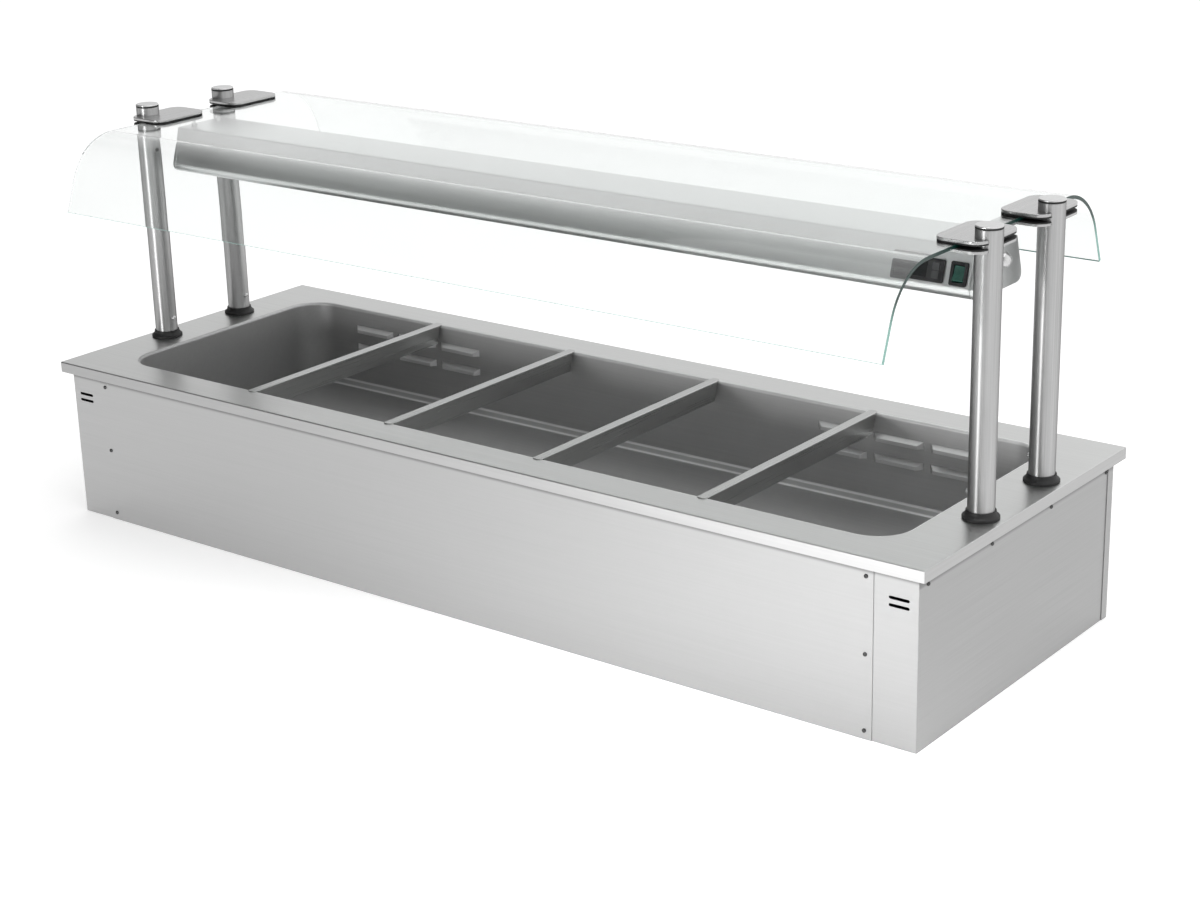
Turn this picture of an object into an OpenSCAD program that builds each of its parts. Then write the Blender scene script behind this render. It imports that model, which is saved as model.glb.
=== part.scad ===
// Drop-in bain marie: a five-pan well in a stainless casing, with four posts that carry
// a bent glass and a lamp gantry. The origin is the centre of the casing's underside,
// +X runs along the well to the right, +Y to the back and +Z up. Millimetres.

/* [Well] */
// Centre distance of two neighbouring pans
pan_pitch = 330; // [310:1:345]
// Extra length of the well beyond the outer pans' places, at each end
end_gap = 7.5; // [5:0.5:12]
// Width of the well's mouth, front to back
well_w = 500; // [480:5:540]
// Depth from the worktop's top face to the well's floor
well_d = 165; // [140:1:180]
// Plan radius of the well's corners
well_r = 60; // [30:2:90]
// Radius of the roll from the worktop into the well
rim_r = 5; // [3:0.5:9]
// Radius between the well's walls and its floor
floor_r = 14; // [6:1:22]
// Sheet thickness of the well
well_t = 1.2; // [0.8:0.1:2]

/* [Worktop] */
// Land between the well and each end of the worktop
end_land = 102.5; // [98:0.5:130]
// Land between the well and the front and back edges
side_land = 75; // [68:1:95]
// Height of the worktop's top face above the casing's underside
top_h = 300; // [285:5:360]
// Depth of the turned-down edge
edge_h = 20; // [14:1:30]
// Width of the edge's return, which rests on the counter
edge_return = 9; // [6:0.5:10]
// Sheet thickness of the worktop
top_t = 1.5; // [1:0.1:2.5]

/* [Casing] */
// Inset of the casing from the worktop's ends
casing_inset_x = 15; // [14:0.5:22]
// Inset of the casing from the worktop's front and back edges
casing_inset_y = 13; // [12:0.5:18]
// Sheet thickness of the panels
panel_t = 1.2; // [0.8:0.1:1.6]
// Width of the fixed strip beside the removable front panel
strip_w = 78; // [70:1:90]
// Width of the rear panel's flanges on the sides
rear_flange = 20; // [12:1:24]
// Distance of the top row of screws below the worktop's top face
screw_drop = 36; // [30:1:46]
// Head diameter of the casing's screws
screw_head = 7; // [5:0.5:9]
// Distance of the vent slots' middle from the casing's end
vent_inset = 35; // [30:1:40]
// Distance of the upper vent slot below the worktop's top face
vent_drop = 60; // [50:1:80]
// Length of a vent slot
vent_l = 35; // [20:1:50]
// Height of a vent slot
vent_h = 5; // [3:0.5:8]

/* [Dividers] */
// Width of a divider bar
bar_w = 18; // [14:1:26]
// Depth of a divider bar's sides
bar_h = 36; // [20:1:60]
// Lap of a divider bar on the worktop beyond the roll
bar_lap = 4; // [3:0.5:10]
// Sheet thickness of a divider bar
bar_t = 1.5; // [1:0.1:2.5]

/* [Louvres] */
// Distance of each louvre group's middle from the well's middle
louvre_x = 550; // [540:5:590]
// Distance of each louvre group's middle below the worktop's top face
louvre_drop = 60; // [56:1:66]
// Length of a louvre at the wall
louvre_l = 98; // [80:1:104]
// Height of a louvre
louvre_h = 13; // [10:0.5:18]
// How far a louvre stands into the well
louvre_out = 9; // [5:0.5:12]
// Centre distance of two louvre columns
louvre_pitch_x = 112; // [108:1:118]
// Centre distance of the two louvre rows
louvre_pitch_z = 38; // [32:1:44]

/* [Posts] */
// Diameter of the post tubes
post_d = 42.4; // [38:0.1:48]
// Wall of the post tubes
post_t = 2; // [1.5:0.1:3]
// Height of the posts above the worktop, with their caps
post_h = 455; // [420:5:520]
// Distance of the post axes from the worktop's ends
post_inset = 40; // [36:0.5:44]
// Distance between the front and the rear post axes
post_pitch = 195; // [190:1:230]
// Setback of the upper works from the middle of the worktop
upper_y = 7.5; // [0:0.5:12]

/* [Glass] */
// Thickness of the glass
glass_t = 6; // [5:0.5:10]
// Depth of the glass over its two lower edges
glass_span = 680; // [640:5:720]
// Drop from the glass's flat top to its lower edges
glass_drop = 130; // [110:2:170]
// Outer radius of the glass's two bends
bend_r = 110; // [70:2:120]
// Angle of the glass's lower ends from upright
glass_rake = 20; // [10:1:30]
// Height of the glass's top face below the caps' tops
glass_below = 26; // [22:0.5:32]
// Gap between the glass's ends and the posts
glass_gap = 11; // [6:0.5:16]

/* [Clamps] */
// Length of a clamp plate along the well
clamp_l = 84; // [80:1:92]
// Width of a clamp plate, front to back
clamp_w = 122; // [110:1:134]
// Corner radius of a clamp plate
clamp_r = 22; // [10:1:28]
// Reach of a clamp plate past the post's axis, away from the well
clamp_over = 10; // [6:1:16]
// Setback of a clamp plate's middle behind the post's axis
clamp_back = 21; // [14:1:26]
// Thickness of a clamp plate
clamp_t = 5; // [4:0.5:8]
// Thickness of a gasket
gasket_t = 2; // [1:0.5:3]
// Thickness of a jaw
jaw_t = 4; // [3:0.5:6]

/* [Gantry] */
// Height of the gantry
gantry_h = 76; // [70:1:90]
// Depth of the gantry at its underside
gantry_w = 158; // [150:1:176]
// Inward lean of each face over the gantry's height
gantry_lean = 22; // [10:1:30]
// Drop of the gantry's top below the glass's top face
gantry_drop = 27; // [24:1:44]
// Gap between the gantry's ends and the posts
gantry_gap = 14; // [8:0.5:20]
// Radius of the gantry's two lower edges
gantry_r = 15; // [10:1:18]
// Width of the gantry's opening for the lamps
gantry_mouth = 96; // [90:1:100]
// Sheet thickness of the gantry
gantry_t = 1.5; // [1:0.1:2.5]
// Thickness of the gantry's end caps
cap_t = 8; // [5:0.5:12]

/* [Controls] */
// Length of the controller's bezel
ctrl_l = 88; // [80:1:100]
// Height of the controller's bezel
ctrl_h = 36; // [30:1:42]
// Distance between the controller's centre and the gantry's right end
ctrl_end = 98; // [95:1:140]
// Length of the switch's bezel
switch_l = 29; // [27:0.5:32]
// Height of the switch's bezel
switch_h = 37; // [35:0.5:42]
// Distance between the switch's centre and the gantry's right end
switch_end = 29; // [26:0.5:34]

/* [Hidden] */
$fn = 48;

// Number of pan places
bays = 5;
// Radial clearance of a fixed piece in its seat
fit = 0.1;
// Radial clearance of a turning or sliding piece
run_fit = 0.08;
// Depth by which a cut runs past the face that it opens
past = 1;
// Inner radius of a fold in sheet
fold_in = 0.8;
// Height of the arcs over the flats beside them, on an outline with slanted sides
hair = 0.001;

// Well and worktop
well_l = bays * pan_pitch + 2 * end_gap;
top_l = well_l + 2 * end_land;
top_w = well_w + 2 * side_land;
floor_z = top_h - well_d;
rim_z = top_h - rim_r;
edge_z = top_h - edge_h;
sheet_z = top_h - top_t;
tank_y = well_w / 2 + well_t;

// Casing: its outer faces, and the faces that the frame and the tray stand against
case_x = top_l / 2 - casing_inset_x;
case_y = top_w / 2 - casing_inset_y;
inner_x = case_x - 2 * panel_t;
inner_front = -case_y + 2 * panel_t;
inner_back = case_y - panel_t;
panel_end = case_x - strip_w;
panel_lap = 27;
panel_bend = panel_t + fold_in;
frame_t = 1.5;
frame_h = 45;
frame_flange = 10;
tray_h = 25;
vent_pitch = 12;
bar_clear = 1.5;
bar_tip_r = bar_w / 3;

// Screws of the casing
screw_d = 4;
screw_l = 9;
screw_head_h = 2.2;
screw_margin = 13;
screw_x = panel_end - screw_margin;
screw_top = top_h - screw_drop;
screw_low = 14;
side_screws = 4;
side_screw_margin = 26;
rear_screws = 5;

// Under and around the well
insulation_t = 30;
wall_insulation_t = 25;
insulation_z = floor_z - well_t - insulation_t;
support_w = 50;
support_foot = 18;
support_t = 1.5;
box_size = [120, 80, 55];
box_end_gap = 112.6;
box_back_gap = 55.8;
box_x = inner_x - box_size.x / 2 - box_end_gap;
box_y = inner_back - box_size.y / 2 - box_back_gap;
box_r = 6;
cord_z = 45;
cord_d = 10;
gland_d = 20;
gland_lip = 4;
gland_lip_t = 2.5;

// Louvres, ducts and fans
louvre_t = 1;
louvre_slope = 0.7;
louvre_z = top_h - louvre_drop;
window_gap = 0.5;
louvre_margin = 5;
plate_l = 2 * (louvre_pitch_x + louvre_margin) + louvre_l;
plate_h = louvre_pitch_z + louvre_h + 2 * louvre_margin;
fan_size = 92;
fan_depth = 25;
fan_r = 6;
fan_bore = 86;
fan_tip = 41;
fan_hub = 18;
fan_hub_h = 15;
fan_shaft_d = 4;
fan_can_h = 6;
fan_blades = 7;
fan_strut = 5;
blade_root = 2;
blade_t = 1.6;
blade_pitch = 35;
baffle_y = 10;
duct_t = 1;
duct_side = 6;
duct_l = plate_l + 2 * duct_side;
duct_h = fan_size + 2;
duct_d = 50;
duct_flange = 5;
fan_front = baffle_y + duct_t;
heater_d = 8;
heater_bend = 22;
heater_y = 22;
heater_stub = 14;
fitting_d = 14;
fitting_h = 5;
probe_d = 6;
probe_l = 45;

// Posts
post_x = top_l / 2 - post_inset;
post_y = [upper_y - post_pitch / 2, upper_y + post_pitch / 2];
post_top = top_h + post_h;
cap_h = 2.5;
cap_plug = 12;
cap_round = 1.2;
ring_h = 3;
tube_top = post_top - cap_h - ring_h;
tube_in = post_d / 2 - post_t;
plug_h = 55;
stud_d = 12;
stud_gap = 0.5;
stud_over = 3;
nut_h = 10;
nut_af = 19;
plate_t = 4;
plate_margin = 32;
set_screw_z = 38;
set_screw_d = 5;
set_screw_head = 9;
collar_h = 13;
collar_foot = 3;
collar_low = 8;
collar_high = 2.3;
cable_hole = 9;

// Glass and clamps
glass_top = post_top - glass_below;
glass_x = post_x - post_d / 2 - glass_gap;
bend_a = 90 - glass_rake;
tail_l = (glass_drop - bend_r * (1 - cos(bend_a))) / cos(glass_rake);
flat_half = glass_span / 2 - bend_r * sin(bend_a) - tail_l * sin(glass_rake);
jaw_z = glass_top - glass_t - gasket_t - jaw_t;
clamp_z = glass_top + gasket_t;
boss_d = 12;
boss_gap = 1;
bolt_d = 6;
bolt_head = 11;
bolt_head_h = 4;
bolt_in = 54;

// Gantry
gantry_x = post_x - post_d / 2 - gantry_gap;
gantry_top = glass_top - gantry_drop;
gantry_z = gantry_top - gantry_h;
body_x = gantry_x - cap_t;
gantry_fold = 4;
gantry_foot = gantry_w / 2;
gantry_head = gantry_w / 2 - gantry_lean;
lean_a = atan(gantry_lean / gantry_h);
face_y = upper_y - (gantry_foot + gantry_head) / 2;
face_z = gantry_z + gantry_h / 2;
lip_in = 2.5;
lip_gap = 0.2;
lip_t = 2;
hanger_d = 6;
hanger_gap = 0.3;
hanger_in = 9;
hanger_pitch = 61;
hanger_x = body_x - hanger_in;
hanger_y = [upper_y - hanger_pitch / 2, upper_y + hanger_pitch / 2];
hanger_nut_af = 10;
hanger_nut_h = 5;
lug_w = 28;
dome_d = 25;
dome_h = 10;
dome_bolt = 8;
dome_y = 20;
dome_z = 44;

// The gantry's inner walls stand between the controller and the switch, and at the same
// place at the other end
wall_x = gantry_x - (ctrl_end - ctrl_l / 2 + switch_end + switch_l / 2) / 2;

// Lamps
rail_w = 8;
rail_t = 1.5;
guard_w = 114;
guard_gap = 11;
guard_x = wall_x - guard_gap;
wire_d = 3;
wires = 33;
reflector_t = 0.8;
reflector_foot = 46;
reflector_head = 26;
reflector_h = 40;
reflector_z = gantry_z + gantry_t + wire_d;
lamps = 4;
lamp_margin = 15;
lamp_gap = 22;
lamp_pitch = 2 * (wall_x - lamp_margin) / lamps;
lamp_d = 10;
lamp_l = lamp_pitch - lamp_gap;
lamp_z = reflector_z + reflector_h / 2;
holder_size = [12, 22, 28];
holder_grip = 8;

// Controls: their housings stand on the gantry's front face
bezel_t = 4;
ctrl_depth = 24;
ctrl_inset = 5;
ctrl_r = 3;
display_l = 54;
display_h = 24;
display_t = 1.5;
display_x = -11;
key_w = 12;
key_h = 11;
key_r = 2;
key_x = 31;
key_pitch = 13;
key_out = 1;
key_depth = 6;
key_travel = 0.8;
cut_gap = 0.3;
switch_bezel_t = 3;
switch_body_l = 22;
switch_body_h = 30;
switch_depth = 22;
rocker_l = 18;
rocker_r = 13;
rocker_gap = 0.4;
rocker_pivot = -3;
rocker_mid = 1.2;
rocker_low = -6;
rocker_tilt = 10;
rocker_room = 16;
pin_d = 3;
pin_l = 1.4;

// Outward normal of the edge from a to b, on an outline that runs anticlockwise
function edge_normal(a, b) = [b.y - a.y, a.x - b.x] / norm(b - a);

// Centre of the circle of radius r that touches both edges at the corner p
function corner_centre(a, p, b, r) =
  let (u = (a - p) / norm(a - p), v = (b - p) / norm(b - p))
  p + (u + v) / norm(u + v) * r / sin(acos(u * v) / 2);

// Repeats a piece at both ends of the well
module both_x() {
  children();
  mirror([1, 0, 0]) children();
}

// Repeats a piece at the front and the back of the well
module both_y() {
  children();
  mirror([0, 1, 0]) children();
}

module rounded(l, w, r) {
  square([l - 2 * r, w], center = true);
  square([l, w - 2 * r], center = true);
  for (x = [-1, 1], y = [-1, 1])
    translate([x * (l / 2 - r), y * (w / 2 - r)]) circle(r);
}

module oblong(l, h) {
  square([l - h, h], center = true);
  for (x = [-1, 1])
    translate([x * (l - h) / 2, 0]) circle(d = h);
}

// Quarter of a ring, from the given angle to 90 degrees further on
module quarter_ring(r_out, r_in, from) {
  rotate(from)
    intersection() {
      difference() {
        circle(r_out);
        circle(r_in);
      }
      square(r_out + past);
    }
}

// Convex outline with a radius at each corner, drawn inset from its outer face. The arcs
// stand a hair over the flats, so that they cross them and don't only touch them.
module rounded_polygon(points, radii, inset) {
  n = len(points);
  centres = [
    for (i = [0:n - 1])
      corner_centre(points[(i + n - 1) % n], points[i], points[(i + 1) % n], radii[i])
  ];
  polygon([
    for (i = [0:n - 1], k = [n - 1, n])
      centres[i] + (radii[i] - inset)
        * edge_normal(points[(i + k) % n], points[(i + k + 1) % n])
  ]);
  for (i = [0:n - 1])
    translate(centres[i]) circle(radii[i] - inset + hair);
}

// Section of a folded channel that is open below, with its foot at the height zero
module channel_section(w, h, r) {
  translate([-w / 2, 0]) square([w, h - r]);
  translate([r - w / 2, 0]) square([w - 2 * r, h]);
  for (x = [-1, 1])
    translate([x * (w / 2 - r), h - r]) circle(r);
}

// Section of an angle: its corner is at the origin, its legs run along +x and +y
module angle_section(a, b, t, r) {
  translate([r, 0]) square([a - r, t]);
  translate([0, r]) square([t, b - r]);
  translate([r, r]) quarter_ring(r, r - t, 180);
}

// Extrudes a section along X: the section's x becomes Y, its y becomes Z
module along_x(l) {
  rotate([90, 0, 90]) linear_extrude(l, center = true) children();
}

// Extrudes a section along Y: the section's x becomes X, its y becomes Z
module along_y(l) {
  rotate([90, 0, 0]) linear_extrude(l, center = true) children();
}

// Block whose four upper edges are folds
module lid_block(l, w, h, r) {
  intersection() {
    along_x(l) channel_section(w, h, r);
    along_y(w) channel_section(l, h, r);
  }
}

// Runs a section round a rounded rectangle; the section's x is measured from the axes
// of the corners
module swept(l, w, r) {
  both_x() both_y()
    translate([l / 2 - r, w / 2 - r, 0]) rotate_extrude(angle = 90) children();
  both_y()
    translate([0, w / 2 - r, 0]) along_x(l - 2 * r) children();
  both_x()
    translate([l / 2 - r, 0, 0]) along_y(w - 2 * r) children();
}

// Screw whose head stands on the face z = 0 and whose shank goes down
module screw(d, l, head_d, head_h) {
  dome_r = (head_d * head_d / 4 + head_h * head_h) / (2 * head_h);
  intersection() {
    translate([0, 0, head_h - dome_r]) sphere(dome_r);
    cylinder(d = head_d, h = head_h);
  }
  translate([0, 0, -l]) cylinder(d = d, h = l + head_h / 2);
}

module hex_nut(af, h, bore) {
  difference() {
    cylinder(d = af / cos(30), h = h, $fn = 6);
    translate([0, 0, -past]) cylinder(d = bore, h = h + 2 * past);
  }
}

module at_posts() {
  both_x()
    for (y = post_y) translate([post_x, y, 0]) children();
}

module at_louvres() {
  for (column = [-1, 0, 1], row = [-1, 1])
    translate([column * louvre_pitch_x, 0, row * louvre_pitch_z / 2]) children();
}

// Places a piece at the group of louvres on the given side, on the tank's outer wall
module at_duct(side) {
  translate([side * louvre_x, tank_y, louvre_z]) children();
}

// Places a piece on the gantry's front face: its x runs along the gantry, its y up the
// face and its z out of it
module on_face(x) {
  translate([x, face_y, face_z]) rotate([90 - lean_a, 0, 0]) children();
}

// Screw places of the removable front panel, with z out of the panel
module at_front_screws() {
  for (x = [-screw_x, screw_x], z = [screw_low, (screw_low + screw_top) / 2, screw_top])
    translate([x, -case_y, z]) rotate([90, 0, 0]) children();
}

// Screw places of the side panels, with z out of the panel
module at_side_screws() {
  pitch = 2 * (case_y - side_screw_margin) / (side_screws - 1);
  both_x()
    for (i = [0:side_screws - 1])
      translate([case_x - panel_t, (i - (side_screws - 1) / 2) * pitch, screw_top])
        rotate([0, 90, 0]) children();
}

// Screw places of the rear panel, with z out of the panel
module at_rear_screws() {
  pitch = 2 * screw_x / (rear_screws - 1);
  for (i = [0:rear_screws - 1], z = [screw_low, screw_top])
    translate([(i - (rear_screws - 1) / 2) * pitch, case_y, z])
      rotate([-90, 0, 0]) children();
}

module screw_hole() {
  cylinder(d = screw_d + 2 * fit, h = 2 * screw_l, center = true);
}

// Worktop and well

module worktop() {
  color("gainsboro")
    difference() {
      translate([0, 0, edge_z]) lid_block(top_l, top_w, edge_h, top_t + fold_in);
      translate([0, 0, edge_z + top_t])
        lid_block(top_l - 2 * top_t, top_w - 2 * top_t, edge_h - 2 * top_t, fold_in);
      translate([0, 0, edge_z + top_t / 2])
        cube([top_l - 2 * edge_return, top_w - 2 * edge_return, 2 * top_t], center = true);
      translate([0, 0, sheet_z - past])
        linear_extrude(top_t + 2 * past)
          rounded(well_l + 2 * rim_r, well_w + 2 * rim_r, well_r + rim_r);
      at_posts()
        translate([0, 0, sheet_z - past])
          cylinder(d = stud_d + 2 * stud_gap, h = top_t + 2 * past);
    }
}

// Section of the tank from the middle of its corners out to the worktop
module tank_section() {
  foot = well_r - floor_r;
  translate([0, floor_z - well_t]) square([foot, well_t]);
  translate([foot, floor_z + floor_r]) quarter_ring(floor_r + well_t, floor_r, -90);
  translate([well_r, floor_z + floor_r]) square([well_t, rim_z - floor_z - floor_r]);
  translate([well_r + rim_r, rim_z]) quarter_ring(rim_r, rim_r - well_t, 90);
}

module well_tank() {
  color("dimgray")
    difference() {
      union() {
        swept(well_l, well_w, well_r) tank_section();
        translate([0, 0, floor_z - well_t / 2])
          cube([well_l - 2 * well_r, well_w - 2 * well_r, well_t], center = true);
      }
      for (side = [-1, 1])
        at_duct(side) at_louvres()
          cube([louvre_l + 2 * window_gap, 4 * well_t, louvre_h + 2 * window_gap],
               center = true);
    }
}

// Wedge with a sloping top, an upright front and ends cut back at 45 degrees. Its back
// lies at y = 0 and its foot on the tank's inner face.
module hood_block(l, h, out) {
  intersection() {
    rotate([90, 0, 90])
      linear_extrude(l, center = true)
        polygon([
          [louvre_t, -h / 2], [louvre_t, h / 2], [-well_t, h / 2],
          [-well_t - out, h / 2 - out * louvre_slope], [-well_t - out, -h / 2]
        ]);
    translate([0, 0, -h])
      linear_extrude(2 * h)
        polygon([
          [-l / 2, louvre_t], [-l / 2, -well_t], [out - l / 2, -well_t - out],
          [l / 2 - out, -well_t - out], [l / 2, -well_t], [l / 2, louvre_t]
        ]);
  }
}

module louvre_plate() {
  color("dimgray")
    difference() {
      union() {
        translate([0, louvre_t / 2, 0]) cube([plate_l, louvre_t, plate_h], center = true);
        at_louvres() hood_block(louvre_l, louvre_h, louvre_out);
      }
      at_louvres()
        translate([0, louvre_t / 2, -louvre_t])
          hood_block(louvre_l - 2 * louvre_t, louvre_h, louvre_out - louvre_t / 2);
    }
}

module louvre_plate_left() {
  at_duct(-1) louvre_plate();
}

module louvre_plate_right() {
  at_duct(1) louvre_plate();
}

// Inverted channel whose top laps on the worktop at both ends. Its sides are cut back at
// a slant, and end short of the louvres.
module divider_bar(i) {
  bar_end = well_w / 2 + rim_r + bar_lap;
  side_low = well_w / 2 - louvre_out - bar_clear;
  side_high = well_w / 2 - bar_clear;
  bar_bend = bar_t + fold_in;
  color("silver")
    translate([(i - bays / 2) * pan_pitch, 0, top_h])
      intersection() {
        difference() {
          translate([0, 0, bar_t - bar_h])
            along_y(2 * bar_end)
              difference() {
                channel_section(bar_w, bar_h, bar_bend);
                translate([0, -past])
                  channel_section(bar_w - 2 * bar_t, bar_h - bar_t + past, fold_in);
              }
          both_y()
            along_x(2 * bar_w)
              polygon([
                [side_low, bar_t - bar_h - past], [side_low, bar_t - bar_h],
                [side_high, 0], [bar_end + past, 0],
                [bar_end + past, bar_t - bar_h - past]
              ]);
        }
        translate([0, 0, -bar_h]) linear_extrude(2 * bar_h) rounded(bar_w, 2 * bar_end, bar_tip_r);
      }
}

// Casing

module front_panel() {
  color("lightgray")
    difference() {
      translate([-panel_end, -case_y, 0]) cube([2 * panel_end, panel_t, edge_z + edge_h / 2]);
      at_front_screws() screw_hole();
    }
}

// Side wall with the fixed strip round the front corner
module side_panel() {
  color("darkgray")
    difference() {
      translate([case_x - panel_t, panel_t - case_y, 0])
        linear_extrude(sheet_z)
          mirror([1, 0])
            angle_section(strip_w + panel_lap - panel_t, 2 * (case_y - panel_t) - fold_in,
                          panel_t, panel_bend);
      for (i = [0, 1])
        translate([case_x - vent_inset, -case_y, top_h - vent_drop - i * vent_pitch])
          rotate([90, 0, 0])
            linear_extrude(8 * panel_t, center = true) oblong(vent_l, vent_h);
      at_front_screws() screw_hole();
      at_side_screws() screw_hole();
    }
}

module side_panel_left() {
  mirror([1, 0, 0]) side_panel();
}

module side_panel_right() {
  side_panel();
}

module rear_panel() {
  color("darkgray")
    difference() {
      both_x()
        translate([case_x, case_y, 0])
          linear_extrude(sheet_z)
            rotate(180) angle_section(case_x, rear_flange, panel_t, panel_bend);
      at_rear_screws() screw_hole();
      translate([box_x, case_y, cord_z])
        rotate([90, 0, 0]) cylinder(d = gland_d + 2 * fit, h = 4 * panel_t, center = true);
    }
}

// Outline inside the panels, inset by the given depth, with folded corners
module inside_panels(inset, r) {
  translate([0, (inner_front + inner_back) / 2])
    rounded(2 * (inner_x - inset), inner_back - inner_front - 2 * inset, r);
}

module base_tray() {
  color("darkgray")
    difference() {
      linear_extrude(tray_h) inside_panels(0, panel_bend);
      translate([0, 0, panel_t]) linear_extrude(tray_h) inside_panels(panel_t, fold_in);
      at_front_screws() screw_hole();
      at_rear_screws() screw_hole();
    }
}

// Angle frame under the worktop, which the panels are screwed to
module top_frame() {
  color("gray")
    difference() {
      translate([0, 0, sheet_z - frame_h])
        linear_extrude(frame_h) inside_panels(0, frame_t + fold_in);
      translate([0, 0, sheet_z - frame_h - frame_t])
        linear_extrude(frame_h) inside_panels(frame_t, fold_in);
      translate([0, 0, sheet_z - 2 * frame_t])
        linear_extrude(3 * frame_t) inside_panels(frame_flange, fold_in);
      at_front_screws() screw_hole();
      at_side_screws() screw_hole();
      at_rear_screws() screw_hole();
    }
}

module front_screws() {
  color("dimgray") at_front_screws() screw(screw_d, screw_l, screw_head, screw_head_h);
}

module casing_screws() {
  color("dimgray") {
    at_side_screws() screw(screw_d, screw_l, screw_head, screw_head_h);
    at_rear_screws() screw(screw_d, screw_l, screw_head, screw_head_h);
  }
}

// Inside the casing

// Hat channels between the tray and the insulation, one under each divider bar
module tank_supports() {
  h = insulation_z - panel_t;
  color("gray")
    for (i = [1:bays - 1])
      translate([(i - bays / 2) * pan_pitch, 0, panel_t])
        along_y(well_w) {
          difference() {
            translate([-support_w / 2, 0]) square([support_w, h]);
            translate([support_t - support_w / 2, -past])
              square([support_w - 2 * support_t, h - support_t + past]);
          }
          for (x = [-1, 1])
            translate([x * (support_w + support_foot) / 2, support_t / 2])
              square([support_foot, support_t], center = true);
        }
}

module floor_insulation() {
  color("khaki")
    translate([0, 0, insulation_z])
      linear_extrude(insulation_t)
        rounded(well_l - 2 * floor_r, well_w - 2 * floor_r, well_r - floor_r);
}

module wall_insulation() {
  low = floor_z + floor_r;
  h = rim_z - rim_r - low;
  color("khaki") {
    translate([well_r - well_l / 2, -tank_y - wall_insulation_t, low])
      cube([well_l - 2 * well_r, wall_insulation_t, h]);
    both_x()
      translate([well_l / 2 + well_t, well_r - well_w / 2, low])
        cube([wall_insulation_t, well_w - 2 * well_r, h]);
  }
}

// Folded box behind the louvres. A baffle and two partitions hold the fan, and leave
// room behind it for the air to turn to the heaters at both ends.
module air_duct(side) {
  partition_x = fan_size / 2 + fit;
  fan_back = fan_front + fan_depth;
  color("darkgray")
    at_duct(side)
      difference() {
        union() {
          difference() {
            translate([0, (duct_d + duct_t) / 2, 0])
              cube([duct_l + 2 * duct_t, duct_d + duct_t, duct_h + 2 * duct_t], center = true);
            translate([0, (duct_d - past) / 2, 0])
              cube([duct_l, duct_d + past, duct_h], center = true);
          }
          translate([0, duct_t / 2, 0])
            difference() {
              cube([duct_l + 2 * duct_flange, duct_t, duct_h + 2 * duct_flange], center = true);
              cube([duct_l, 3 * duct_t, duct_h], center = true);
            }
          translate([0, baffle_y + duct_t / 2, 0])
            cube([2 * partition_x, duct_t, duct_h + duct_t], center = true);
          both_x()
            translate([partition_x, louvre_t + fit, -(duct_h + duct_t) / 2])
              cube([duct_t, fan_back - louvre_t - fit, duct_h + duct_t]);
        }
        translate([0, baffle_y + duct_t / 2, 0])
          rotate([90, 0, 0]) cylinder(d = fan_bore, h = 3 * duct_t, center = true);
        both_x()
          for (z = [-heater_bend, heater_bend])
            translate([duct_l / 2, heater_y, z])
              rotate([0, 90, 0]) cylinder(d = heater_d + 2 * fit, h = 4 * duct_t, center = true);
        translate([duct_l / 2, heater_y, 0])
          rotate([0, 90, 0]) cylinder(d = probe_d + 2 * fit, h = 4 * duct_t, center = true);
      }
}

module air_duct_left() {
  air_duct(-1);
}

module air_duct_right() {
  air_duct(1);
}

// Fitting that clamps a heater or a probe on the duct's end wall
module fitting(d) {
  translate([duct_l / 2 + duct_t, 0, 0]) rotate([0, 90, 0]) cylinder(d = d, h = fitting_h);
}

// U-shaped heater: two legs through the duct's end wall and a bend beside the fan
module heater() {
  bend_x = fan_size / 2 + duct_t + heater_d + heater_bend;
  leg = duct_l / 2 + duct_t + heater_stub - bend_x;
  translate([bend_x, heater_y, 0]) {
    rotate([90, 0, 0])
      rotate([0, 0, 90])
        rotate_extrude(angle = 180) translate([heater_bend, 0]) circle(d = heater_d);
    for (z = [-heater_bend, heater_bend])
      translate([0, 0, z]) rotate([0, 90, 0]) cylinder(d = heater_d, h = leg);
  }
  for (z = [-heater_bend, heater_bend])
    translate([0, heater_y, z]) fitting(fitting_d);
}

module duct_heaters() {
  color("dimgray")
    for (side = [-1, 1])
      at_duct(side) both_x() heater();
}

// Places a piece on the fan's axis, with z to the back from the fan's front face
module at_fan(side) {
  at_duct(side) translate([0, fan_front, 0]) rotate([-90, 0, 0]) children();
}

module fan_frame() {
  can_z = fan_depth - fan_can_h;
  difference() {
    linear_extrude(fan_depth) rounded(fan_size, fan_size, fan_r);
    translate([0, 0, -past]) cylinder(d = fan_bore, h = fan_depth + 2 * past);
  }
  translate([0, 0, can_z]) {
    cylinder(r = fan_hub, h = fan_can_h);
    intersection() {
      for (a = [45, 135])
        rotate(a)
          translate([0, 0, fan_can_h / 2])
            cube([fan_bore + 2 * past, fan_strut, fan_can_h], center = true);
      cylinder(d = fan_bore + past, h = fan_can_h);
    }
  }
  translate([0, 0, can_z - fan_hub_h + past]) cylinder(d = fan_shaft_d, h = fan_hub_h);
}

module fan_frames() {
  color("black")
    for (side = [-1, 1])
      at_fan(side) fan_frame();
}

// Hub with pitched blades, on a blind bore for the fan's shaft
module impeller() {
  hub_z = fan_depth - fan_can_h - fan_hub_h - fit;
  span = fan_tip - fan_hub + blade_root;
  color("darkslategray")
    translate([0, 0, hub_z])
      difference() {
        union() {
          cylinder(r = fan_hub, h = fan_hub_h);
          intersection() {
            cylinder(r = fan_tip, h = fan_hub_h);
            for (i = [0:fan_blades - 1])
              rotate(i * 360 / fan_blades)
                translate([fan_hub - blade_root + span, 0, fan_hub_h / 2])
                  rotate([blade_pitch, 0, 0])
                    cube([2 * span, blade_t, 3 * fan_hub_h], center = true);
          }
        }
        translate([0, 0, past])
          cylinder(d = fan_shaft_d + 2 * run_fit, h = fan_hub_h);
      }
}

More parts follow.
